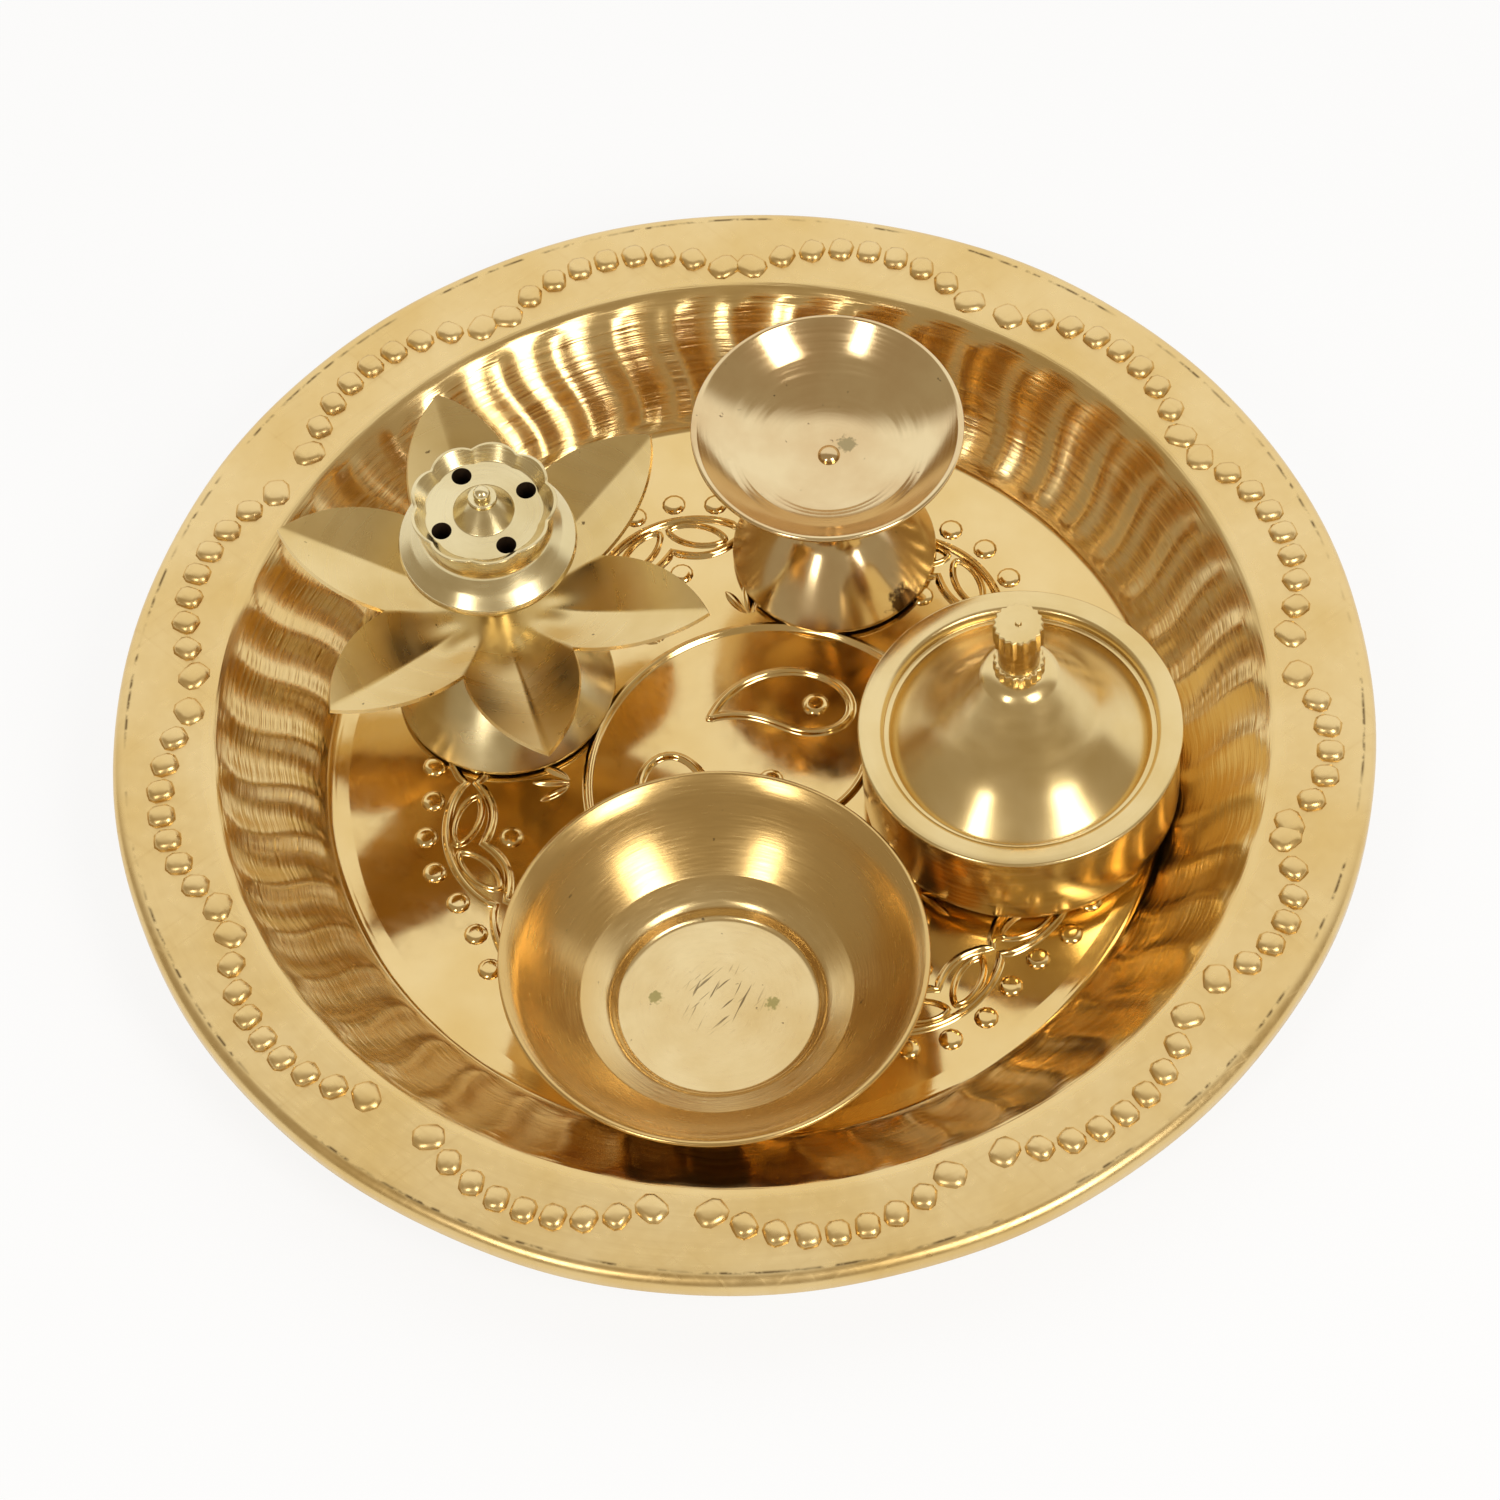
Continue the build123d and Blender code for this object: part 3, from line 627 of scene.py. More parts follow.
def plate_brass(settings):
    """Spun sheet brass of the plate: mirror floor, streaky wall, paler satin rim with tarnish near its lip.

    The eye sees the articles doubled in the floor, soft broken reflections on the wall and a nearly even pale
    gold rim with a dark broken line along its edge.
    """
    cloud_size, speck_size, gap_size, dent_size = 16 * MM, 1.6 * MM, 9 * MM, 10 * MM
    streak_spacing, streak_arcs = 0.9 * MM, 4.0
    line_inset, line_width = 2.0 * MM, 0.3 * MM
    scratch_run, scratch_spacing, scratch_turns = 22 * MM, 0.5 * MM, (0.6, 2.3)
    wall_dents, rim_dents = 0.12 * MM, 0.05 * MM
    wall_streaks, rim_streaks = 0.09 * MM, 0.02 * MM
    colours = settings.colours
    material = bpy.data.materials.new("polished_spun_brass")
    node = emptied(material)
    place, radius, along, around = turned_coordinates(node, Vector())
    rim_start = plate_radius() - settings.plate.rim_width
    on_rim = node("MapRange", (radius, rim_start - 0.5 * MM, rim_start + 1.5 * MM))[0]
    on_wall = node("MapRange", (radius, rim_start - 16.6 * MM, rim_start - 15 * MM))[0]
    clouds = node("TexNoise", {"Vector": place, "Scale": 1 / cloud_size, "Detail": 4.0})["Fac"]
    patches = node("MapRange", (clouds, 0.35, 0.7, 0, 1))[0]
    grain = node("TexNoise", {"Vector": place, "Scale": 1 / speck_size, "Detail": 5.0})["Fac"]
    gaps = node("TexNoise", {"Vector": place, "Scale": 1 / gap_size, "Detail": 2.0})["Fac"]
    aside = node("Math", (radius, plate_radius() - line_inset), operation="SUBTRACT")[0]
    aside = node("Math", (aside,), operation="ABSOLUTE")[0]
    dark = node("MapRange", (aside, 0.0, line_width, 1, 0))[0]
    broken = node("MapRange", (gaps, 0.4, 0.54, 0, 1))[0]
    flecked = node("MapRange", (grain, 0.42, 0.56, 0, 0.9))[0]
    for share in (broken, flecked):
        dark = node("Math", (dark, share), operation="MULTIPLY")[0]
    colour = colours.plate
    for cover, shade in ((patches, colours.plate_deep), (dark, colours.tarnish_and_shade)):
        colour = node("Mix", {0: cover, 6: colour, 7: shade}, data_type="RGBA")[2]
    streaks = ring_marks(node, along, around, streak_spacing, streak_arcs)
    polish = node("MapRange", (grain, 0.3, 0.7, 0.08, 0.14))[0]
    wall_polish = node("MapRange", (streaks, 0.3, 0.7, 0.15, 0.27))[0]
    rim_polish = node("MapRange", (grain, 0.3, 0.7, 0.26, 0.36))[0]
    for share, other in ((on_wall, wall_polish), (on_rim, rim_polish)):
        polish = node("Mix", {0: share, 2: polish, 3: other})[0]
    for turn in scratch_turns:
        scratch = hairlines(node, place, turn, scratch_run, scratch_spacing)
        scratch = node("Math", (scratch, on_rim), operation="MULTIPLY")[0]
        dull = node("MapRange", (scratch, 0, 1, 0, 0.08))[0]
        polish = node("Math", (polish, dull), operation="ADD")[0]
    wobble = node("TexNoise", {"Vector": place, "Scale": 1 / dent_size, "Detail": 1.0})["Fac"]
    uneven = node("MapRange", (on_rim, 0, 1, wall_dents, rim_dents))[0]
    sheet = node("Bump", {"Height": wobble, "Strength": 1.0, "Distance": uneven})[0]
    depth = node("MapRange", (on_rim, 0, 1, wall_streaks, rim_streaks))[0]
    depth = node("Math", (on_wall, depth), operation="MULTIPLY")[0]
    shader = node("BsdfPrincipled", {
        "Base Color": colour,
        "Metallic": 1.0,
        "Roughness": polish,
        "Normal": node("Bump", {"Height": streaks, "Strength": 1.0, "Distance": depth, "Normal": sheet})[0],
    })[0]
    node("OutputMaterial", {"Surface": shader})
    return material


def turned_brass(colours, axis):
    """Bright brass as it left the lathe, paler than the plate."""
    return brass(
        "bright_turned_brass", colours.turned, colours.turned_deep, axis, (0.16, 0.3), 0.4 * MM, 0.006 * MM,
    )


def lamp_brass(colours, axis, stains=()):
    """Turned brass with a rosy tint and lathe rings that show as fine dark and bright arcs."""
    return brass(
        "rosy_turned_brass", colours.lamp, colours.lamp_deep, axis, (0.11, 0.19), 0.5 * MM, 0.004 * MM,
        specks=colours.tarnish_and_shade, stains=stains,
    )


def box_brass(colours, axis):
    """Polished brass of the box, smooth, with soft edges to its reflections."""
    return brass(
        "polished_box_brass", colours.box, colours.box_deep, axis, (0.17, 0.27), 0.6 * MM, 0.002 * MM,
    )


def painted_hole_shade_brass(colours):
    """Painted shade of the deep stick holes: dull, nearly black brass, a little uneven."""
    hole_shade_size = 0.6 * MM
    material = bpy.data.materials.new("painted_hole_shade_brass")
    node = emptied(material)
    place = node("TexCoord")["Object"]
    painted_hole_shade = node("TexNoise", {"Vector": place, "Scale": 1 / hole_shade_size, "Detail": 3.0})["Fac"]
    shader = node("BsdfPrincipled", {
        "Base Color": node("Mix", {0: painted_hole_shade, 6: colours.painted_hole_shade, 7: colours.tarnish_and_shade}, data_type="RGBA")[2],
        "Metallic": 0.3,
        "Roughness": node("MapRange", (painted_hole_shade, 0.3, 0.7, 0.6, 0.85))[0],
    })[0]
    node("OutputMaterial", {"Surface": shader})
    return material


# Plate
def plate_section(sizes):
    """Half section of the plate: dense on the upper face, where the flutes and rim show."""
    wall_run, rim_run = 0.6 * MM, 1.8 * MM
    ring_count, ring_start, ring_step, ring_rise = 10, 56.4 * MM, 0.22 * MM, 0.035 * MM
    middle = sizes.sheet / 2
    lip_radius = plate_radius() - middle
    top_radius = lip_radius - sizes.rim_width
    foot_radius = top_radius - sizes.wall_height / math.tan(sizes.wall_slope)
    rim = middle + sizes.wall_height
    lip = rim - sizes.rim_drop
    path = [(0, middle), (foot_radius, middle), (top_radius, rim), (lip_radius, lip),
            (lip_radius, lip - sizes.lip_height)]
    upper, lower = sheet_sides(path, [sizes.foot_curve, sizes.rim_curve, sizes.lip_curve], sizes.sheet)
    wall_ends = foot_radius - sizes.foot_curve, top_radius + sizes.rim_curve
    upper = divided(divided(upper, *wall_ends, wall_run), top_radius, lip_radius, rim_run)
    lower = divided(divided(lower, *wall_ends, 4 * wall_run), top_radius, lip_radius, 2 * rim_run)
    rings = [
        Vector((ring_start + ring_step * step, sizes.sheet + ring_rise * (step % 2)))
        for step in range(ring_count)
    ]
    steps = [Vector((rings[0].x * share, sizes.sheet)) for share in (0.35, 0.7)]
    section = upper[:1] + steps + rings + upper[1:] + round_edge(upper[-1], lower[-1]) + lower[::-1]
    return section, foot_radius, top_radius, lip_radius


def emboss(piece, sizes, foot_radius, top_radius, lip_radius):
    """Presses the swaying flutes into the wall and makes the rim a little uneven."""
    crest_power, rim_waver, rim_heave = 1.6, 0.22 * MM, 0.1 * MM
    points = points_of(piece)
    radius, azimuth = to_polar(points)
    down = np.array((-math.cos(sizes.wall_slope), -math.sin(sizes.wall_slope)))
    run = (top_radius - foot_radius) / math.cos(sizes.wall_slope)
    from_top = np.stack((radius - top_radius, points[:, 2] - sizes.sheet / 2 - sizes.wall_height), 1)
    share = from_top @ down / run
    fade = smoothstep(0, 0.15, share) * (1 - smoothstep(0.86, 0.97, share))
    crest = (0.5 + 0.5 * np.cos(sizes.flute_count * azimuth)) ** crest_power
    lift = sizes.flute_height * fade * crest
    sway = np.sin(math.tau * np.clip(share, 0, 1)) * sizes.flute_sway / np.maximum(radius, MM)
    radius = radius - lift * math.sin(sizes.wall_slope)
    edge = smoothstep(top_radius, lip_radius, radius)
    waves = sum(size * np.sin(count * azimuth + phase) for count, phase, size in RIM_WAVES)
    waves /= sum(size for count, phase, size in RIM_WAVES)
    radius = radius - edge * rim_waver * (1 + waves)
    height = points[:, 2] + lift * math.cos(sizes.wall_slope) + edge * rim_heave * waves
    move_points(piece, from_polar(radius, azimuth + sway, height))


def bead(name, radius, height, squareness=2.0):
    """Low bead on z zero, round or nearly square in plan, with a flared edge and a root in the sheet."""
    section = [Vector((radius * across, height * up)) for across, up in BEAD_SECTION]
    root = [Vector((radius, RELIEF_ROOT)), Vector((0, RELIEF_ROOT))]
    piece = spun(name, section + root, Vector(), 12)
    points = points_of(piece)
    turn = to_polar(points)[1]
    swell = (np.abs(np.cos(turn)) ** squareness + np.abs(np.sin(turn)) ** squareness) ** (-1 / squareness)
    points[:, :2] *= swell[:, None]
    move_points(piece, points)
    return piece


def rim_beads(sizes, lip_radius, top_radius):
    """Beads of the rim, in arcs whose middles bow out and whose end beads are broader and flatter."""
    squareness, sunk, twist = 3.4, 0.12 * MM, 0.6
    plain, at_end = (1.12, 1.0, 1.0, 1), (1.12, 1.3, 0.75, 1)
    tilt = math.atan2(sizes.rim_drop, sizes.rim_width)
    rim_top = sizes.wall_height + sizes.sheet - sunk
    places = []
    for azimuth, beads in RIM_ARCS:
        reach = (beads - 1) / 2
        for step in range(beads):
            share = (step - reach) / reach
            radius = lip_radius - sizes.bead_inset - sizes.arc_bow * share**2
            height = rim_top - sizes.rim_drop * (radius - top_radius) / sizes.rim_width
            turn = math.radians(azimuth) + sizes.bead_pitch * (step - reach) / radius
            places.append(
                Matrix.Rotation(turn, 4, "Z")
                @ Matrix.Translation((radius, 0, height))
                @ Matrix.Rotation(tilt, 4, "Y")
                @ Matrix.Rotation(-share * twist, 4, "Z")
                @ Matrix.Diagonal(at_end if abs(share) == 1 else plain)
            )
    return copies(bead("rim_bead", sizes.bead_radius, sizes.bead_height, squareness), places)


def ridge(name, line, width, height, taper=False):
    """Raised line on z zero along plan points: a grid laid along the line, bell-shaped across it."""
    line = np.array(line)
    across = np.array(LINE_ACROSS) * width
    root = RELIEF_ROOT / height
    up = np.array((root, *LINE_UP, root, root)) * height
    bpy.ops.mesh.primitive_grid_add(x_subdivisions=len(line) - 1, y_subdivisions=len(across) - 1, size=1)
    piece = bpy.context.object
    piece.name = name
    grid = points_of(piece) + 0.5
    along = np.rint(grid[:, 0] * (len(line) - 1)).astype(int)
    side = np.rint(grid[:, 1] * (len(across) - 1)).astype(int)
    if np.allclose(line[0], line[-1]):
        inner = np.concatenate((line[-2:-1], line, line[1:2]))
    else:
        inner = np.pad(line, ((1, 1), (0, 0)), "edge")
    heading = inner[2:] - inner[:-2]
    heading /= np.linalg.norm(heading, axis=1)[:, None]
    square = np.stack((-heading[:, 1], heading[:, 0]), 1)
    thin = np.ones(len(line))
    if taper:
        thin = np.sin(np.pi * np.linspace(0.02, 0.98, len(line))) ** 0.6
    plan = line[along] + square[along] * (across[side] * thin[along])[:, None]
    rise = np.where(up[side] > 0, up[side] * thin[along], up[side])
    move_points(piece, np.column_stack((plan, rise)))
    tidy_mesh(piece)
    return piece


def floor_relief(sizes, sheet):
    """Raised pattern of the floor: medallion, sprigs, scalloped border with leaf loops, and beads."""
    step = math.tau / sizes.scallops
    turns = np.linspace(0, math.tau, 24 * sizes.scallops + 1)
    wave = np.abs(np.sin(sizes.scallops * turns / 2)) ** 0.7
    lobe = np.abs(np.sin(sizes.scallops * turns)) ** 0.8
    outer = sizes.outer_radius - sizes.outer_dip * (1 - wave)
    inner = sizes.inner_radius + sizes.inner_dip * (1 - lobe)
    pieces = [
        ridge("border_line", from_polar(radii, turns - step / 2), sizes.line_width * 0.9, sizes.height)
        for radii in (outer, inner)
    ]
    ring = from_polar(sizes.medallion_radius, np.linspace(0, math.tau, 97))
    pieces.append(ridge("medallion_ring", ring, sizes.line_width, sizes.height))
    leaf = np.linspace(0, math.tau, 25)
    outline = np.stack((
        sizes.leaf_length / 2 * np.cos(leaf),
        sizes.leaf_width / 2 * np.sin(leaf) * np.abs(np.sin(leaf)) ** 0.35,
    ), 1)
    spread = (sizes.leaf_length * 0.9 + MM) / 2 / sizes.leaf_radius
    places = [
        Matrix.Rotation(scallop * step + side * spread, 4, "Z")
        @ Matrix.Translation((sizes.leaf_radius, 0, 0))
        @ Matrix.Rotation(math.pi / 2 + side * sizes.leaf_lean, 4, "Z")
        for scallop in range(sizes.scallops) for side in (-1, 1)
    ]
    pieces += copies(ridge("leaf_loop", outline, sizes.line_width * 0.7, sizes.height * 0.9), places)
    pieces += floor_beads(sizes, step) + sprigs(sizes, step) + medallion(sizes)
    shift = Matrix.Translation((sizes.shift_x, sizes.shift_y, sheet))
    turn = Matrix.Rotation(sizes.azimuth, 4, "Z")
    for piece in pieces:
        piece.data.transform(shift @ turn)
    return pieces


def floor_beads(sizes, step):
    """Beads of the floor: four outside each scallop and one in each notch of the inner line."""
    places = [
        Matrix.Rotation((scallop + share) * step, 4, "Z") @ Matrix.Translation((radius * MM, 0, 0))
        for scallop in range(sizes.scallops) for share, radius in FLOOR_BEADS
    ]
    return copies(bead("floor_bead", sizes.bead_radius, sizes.bead_height), places)


def sprigs(sizes, step):
    """Small sprigs of three strokes between the medallion and the border."""
    root_radius, stroke_length, stroke_droop, root_gap, stroke_spread = 28.6, 5.2, 1.2, 0.4, 2.6
    reach = np.linspace(0, 1, 9)
    places = [Matrix.Rotation((scallop + 0.5) * step, 4, "Z") for scallop in range(sizes.scallops)]
    pieces = []
    for side in (-1, 0, 1):
        out = (root_radius + stroke_length * reach - stroke_droop * abs(side) * reach**2) * MM
        over = side * (root_gap + stroke_spread * reach**0.7) * MM
        stroke = np.stack((out, over), 1)
        pattern = ridge("sprig_stroke", stroke, sizes.line_width * 0.95, sizes.height * 0.85, taper=True)
        pieces += copies(pattern, places)
    return pieces


def medallion(sizes):
    """Medallion: three curled drops that chase each other round a bead."""
    drop_length, drop_width, curl, offset, arms = 10.6 * MM, 6.6 * MM, 13.0 * MM, -14.0 * MM, 3
    eye = (-5.4 * MM, 1.0 * MM, 0)
    turn = np.linspace(0, math.tau, 49)
    along = drop_length * np.cos(turn)
    across = drop_width * np.sin(turn) * np.sin(turn / 2) ** 1.2
    drop = np.stack((
        (curl - across) * np.sin(along / curl),
        curl - (curl - across) * np.cos(along / curl),
    ), 1)
    places = [
        Matrix.Rotation(math.tau / arms * arm + 0.5, 4, "Z") @ Matrix.Translation((0, offset, 0))
        for arm in range(arms)
    ]
    pieces = copies(ridge("medallion_drop", drop, sizes.line_width, sizes.height), places)
    eyes = [place @ Matrix.Translation(eye) for place in places] + [Matrix.Identity(4)]
    return pieces + copies(bead("medallion_bead", sizes.bead_radius * 1.1, sizes.bead_height), eyes)


class THALI_OT_plate(bpy.types.Operator):
    """Model the plate with its fluted wall, beaded rim and raised pattern"""
    bl_idname = "thali.plate"
    bl_label = "Plate"

    def execute(self, context):
        settings = context.scene.puja_thali
        sizes = settings.plate
        section, foot_radius, top_radius, lip_radius = plate_section(sizes)
        piece = spun("brass_plate", section, Vector(), 10 * sizes.flute_count)
        emboss(piece, sizes, foot_radius, top_radius, lip_radius)
        details = rim_beads(sizes, lip_radius, top_radius) + floor_relief(settings.relief, sizes.sheet)
        piece = joined([piece, *details])
        settle(piece, plate_brass(settings), "plate", "thali_plate")
        return {"FINISHED"}


# Incense holder
class THALI_OT_incense_base(bpy.types.Operator):
    """Model the cone foot of the incense holder"""
    bl_idname = "thali.incense_base"
    bl_label = "Incense base"

    def execute(self, context):
        settings = context.scene.puja_thali
        sizes, axis, shoulder = settings.incense, axis_of("incense_base"), 0.8 * MM
        section = cone_section(sizes, sizes.base_height, shoulder, INCENSE_SCREW_HOLE)
        piece = spun("incense_cone_foot", section, axis, 128, foot_of("incense_base"))
        finish = turned_brass(settings.colours, axis)
        settle(piece, finish, "incense_holder", "incense_base")
        return {"FINISHED"}


class THALI_OT_incense_flower(bpy.types.Operator):
    """Model the six-petal flower, each petal creased down its middle"""
    bl_idname = "thali.incense_flower"
    bl_label = "Incense flower"

    def execute(self, context):
        settings = context.scene.puja_thali
        sizes, colours, axis = settings.incense, settings.colours, axis_of("incense_base")
        hub = np.linspace(INCENSE_SCREW_HOLE, sizes.hub_radius, 5)
        petal = np.linspace(sizes.hub_radius, sizes.petal_reach, 26)[1:]
        section = [Vector((radius, 0)) for radius in (*hub, *petal)]
        piece = spun("flower_sheet", section, Vector(), 36 * sizes.petals)
        shape_petals(piece, sizes)
        modify(piece, "SOLIDIFY", thickness=sizes.petal_gauge, offset=0, use_even_offset=True)
        seat = foot_of("incense_base") + sizes.base_height + sizes.petal_gauge / 2
        piece.data.transform(Matrix.Translation((axis.x, axis.y, seat)))
        finish = brass(
            "stamped_sheet_brass", colours.flower, colours.flower_deep, axis, (0.25, 0.32), 3.0 * MM,
            0.0005 * MM, dents=0.035 * MM, specks=colours.tarnish_and_shade,
        )
        settle(piece, finish, "incense_holder", "incense_flower")
        return {"FINISHED"}


def petal_outline(sizes, steps=40):
    """Outline of half a petal, an arc from its tip over its belly to the notch, as angles and radii."""
    belly_share = 0.68
    half = math.pi / sizes.petals
    tip = Vector((sizes.petal_reach, 0))
    belly = Vector((sizes.petal_reach * belly_share, sizes.petal_width / 2))
    notch = Vector((math.cos(half), math.sin(half))) * sizes.notch_radius
    first, second = belly - tip, notch - tip
    twist = 2 * (first.x * second.y - first.y * second.x)
    centre = tip + Vector((
        second.y * first.length_squared - first.y * second.length_squared,
        first.x * second.length_squared - second.x * first.length_squared,
    )) / twist
    start, end = tip - centre, notch - centre
    turn = start.angle_signed(end)
    arc = [centre + Matrix.Rotation(-turn * step / steps, 2) @ start for step in range(steps + 1)]
    return [math.atan2(point.y, point.x) for point in arc], [point.length for point in arc]


def shape_petals(piece, sizes):
    """Draws a disc's rays in to the petals' outline, lifts the petals and folds them along their middles."""
    bend, fold_axis, pleat_height = 2.3 * MM, 3.2 * MM, 0.1 * MM
    fold_start, fold_full = 6.5 * MM, 14 * MM
    pleat_start, pleat_full, pleat_fall, pleat_end = 6 * MM, 8 * MM, 10 * MM, 17 * MM
    radius, azimuth = to_polar(points_of(piece))
    half = math.pi / sizes.petals
    local = (azimuth + half) % (2 * half) - half
    edge = np.interp(np.abs(local), *petal_outline(sizes))
    share = np.clip((radius - sizes.hub_radius) / (sizes.petal_reach - sizes.hub_radius), 0, 1)
    radius = np.where(share > 0, sizes.hub_radius + share * (edge - sizes.hub_radius), radius)
    slope = sizes.petal_rise / (sizes.petal_reach - sizes.hub_radius)
    past = np.clip(radius - sizes.hub_radius + bend, 0, 2 * bend)
    rise = slope * (past**2 / (4 * bend) + np.maximum(radius - sizes.hub_radius - bend, 0))
    across = radius * np.abs(np.sin(local))
    rise += sizes.crease * (across - fold_axis) * smoothstep(fold_start, fold_full, radius)
    pleat = smoothstep(pleat_start, pleat_full, radius) * (1 - smoothstep(pleat_fall, pleat_end, radius))
    rise += pleat_height * np.cos(local / half * math.tau) * pleat
    move_points(piece, from_polar(radius, azimuth + sizes.petal_azimuth, rise))


class THALI_OT_incense_cup(bpy.types.Operator):
    """Model the turned cup with its lobed rim, stick holes and pointed boss"""
    bl_idname = "thali.incense_cup"
    bl_label = "Incense cup"

    def execute(self, context):
        settings = context.scene.puja_thali
        sizes, axis, seat = settings.incense, axis_of("incense_cup"), foot_of("incense_cup")
        piece = spun("incense_cup_turned", cup_section(sizes), axis, 16 * sizes.lobes, seat)
        lobe_rim(piece, sizes, axis, seat)
        places = hole_places(sizes, axis)
        drill_holes(piece, sizes, places, seat)
        piece.data.materials.clear()
        # The second material paints the shade deep inside the stick holes
        for finish in (turned_brass(settings.colours, axis), painted_hole_shade_brass(settings.colours)):
            piece.data.materials.append(finish)
        blacken_holes(piece, sizes, places, seat)
        settle(piece, None, "incense_holder", "incense_cup")
        return {"FINISHED"}


def cup_section(sizes):
    """Half section of the cup: stem, bowl, flange, waist, flared rim, well, cone, collar and ball."""
    stem, stem_top, bowl_drop = 2.8 * MM, 6.5 * MM, 4.6 * MM
    flange_edge, flange_taper, rim_edge = 0.9 * MM, 0.25 * MM, 0.5 * MM
    cove_in, cove_up = 1.9 * MM, 1.4 * MM
    cone, collar, collar_top, ball = 4.3 * MM, 2.0 * MM, 25.6 * MM, 1.2 * MM
    flange, level = sizes.flange_radius, sizes.flange_height
    corners = [
        (0, 0), (stem, 0), (stem, stem_top), (flange * 0.8, level - bowl_drop),
        (flange, level - flange_edge), (flange - flange_taper, level), (flange - cove_in, level + cove_up),
        (sizes.waist_radius, sizes.waist_height), (sizes.rim_radius, sizes.rim_height),
        (sizes.rim_radius - rim_edge, sizes.rim_height), (sizes.well_radius, sizes.well_height),
        (cone, sizes.well_height), (collar, collar_top), (collar, collar_top + ball / 2),
        (ball * 0.8, collar_top + ball / 2),
    ]
    bends = [0.2, 3.0, 5.0, 0.7, 0.3, 2.6, 1.6, 0.15, 0.15, 0.4, 0.3, 0.25, 0.2]
    section = rounded(corners, [bend * MM for bend in bends])
    return section + domed(ball, ball, collar_top + ball, start=-math.asin(0.5))


def lobe_rim(piece, sizes, axis, seat):
    """Draws the cup's rim in at the notches between its lobes."""
    notch_share, notch_depth = 0.08, 0.4 * MM
    points = points_of(piece) - np.array(axis) - np.array((0, 0, seat))
    radius, azimuth = to_polar(points)
    notch = 1 - np.abs(np.sin(sizes.lobes * (azimuth - sizes.lobe_azimuth) / 2)) ** 0.7
    outside = radius > sizes.well_radius * 0.99
    upper = smoothstep(sizes.waist_height, sizes.rim_height, points[:, 2]) * outside
    points[:, :2] *= (1 - notch_share * notch * upper)[:, None]
    points[:, 2] -= notch_depth * notch * upper**2
    move_points(piece, points + np.array(axis) + np.array((0, 0, seat)))


def hole_places(sizes, axis):
    """Middles of the stick holes in plan."""
    turns = [sizes.hole_azimuth + math.tau / sizes.holes * step for step in range(sizes.holes)]
    return [axis + Vector((math.cos(turn), math.sin(turn), 0)) * sizes.hole_circle for turn in turns]


def drill_holes(piece, sizes, places, seat):
    """Cuts the stick holes into the well's floor."""
    for place in places:
        deselect()
        bpy.ops.mesh.primitive_cylinder_add(
            vertices=32, radius=sizes.hole_radius, depth=2 * sizes.hole_depth,
            location=place + Vector((0, 0, seat + sizes.well_height)),
        )
        drill = bpy.context.object
        modify(piece, "BOOLEAN", object=drill, operation="DIFFERENCE", solver="MANIFOLD")
        bpy.data.objects.remove(drill)


def blacken_holes(piece, sizes, places, seat):
    """Gives the walls and floors of the stick holes the second material, their painted shade."""
    level = seat + sizes.well_height - 0.15 * MM
    reach = sizes.hole_radius * 1.02
    for face in piece.data.polygons:
        middle = face.center
        if middle.z < level and any((middle.xy - place.xy).length < reach for place in places):
            face.material_index = 1


# Oil lamp
class THALI_OT_lamp_pedestal(bpy.types.Operator):
    """Model the cone pedestal of the oil lamp"""
    bl_idname = "thali.lamp_pedestal"
    bl_label = "Lamp pedestal"

    def execute(self, context):
        settings = context.scene.puja_thali
        sizes, colours, axis = settings.lamp, settings.colours, axis_of("diya_pedestal")
        section = cone_section(sizes, sizes.height, sizes.gauge, sizes.rivet_radius + PIN_PLAY)
        piece = spun("lamp_cone_pedestal", section, axis, 128, foot_of("diya_pedestal"))
        low = axis + Vector((9.4 * MM, -10.6 * MM, foot_of("diya_pedestal") + MM))
        finish = lamp_brass(colours, axis, [(low, 3.2 * MM, colours.tarnish_and_shade, 0.95)])
        settle(piece, finish, "diya", "diya_pedestal")
        return {"FINISHED"}


class THALI_OT_lamp_dish(bpy.types.Operator):
    """Model the shallow dish of the oil lamp, with a few lathe rings inside"""
    bl_idname = "thali.lamp_dish"
    bl_label = "Lamp dish"

    def execute(self, context):
        settings = context.scene.puja_thali
        sizes, colours, axis = settings.lamp, settings.colours, axis_of("diya_dish")
        ring_start, ring_end, ring_margin, ring_depth = 9 * MM, 14 * MM, MM, 0.015 * MM
        middle = sizes.gauge / 2
        rim = (sizes.rim_radius - middle, middle + sizes.depth)
        path = [(sizes.rivet_radius + PIN_PLAY, middle), (sizes.floor_radius, middle), rim]
        inside, under = sheet_sides(path, [sizes.bowl_curve], sizes.gauge)
        inside = divided(inside, ring_start - ring_margin, ring_end + ring_margin, 0.3 * MM)
        for ring in inside[2:-2:3]:
            if ring_start < ring.x < ring_end:
                ring.y -= ring_depth
        section = inside + round_edge(inside[-1], under[-1]) + under[::-1] + inside[:1]
        piece = spun("lamp_oil_dish", section, axis, 144, foot_of("diya_dish"))
        beside_rivet = axis + Vector((2.7 * MM, 1.6 * MM, foot_of("diya_dish") + sizes.gauge))
        finish = lamp_brass(colours, axis, [(beside_rivet, 1.6 * MM, colours.solder, 0.85)])
        settle(piece, finish, "diya", "diya_dish")
        return {"FINISHED"}


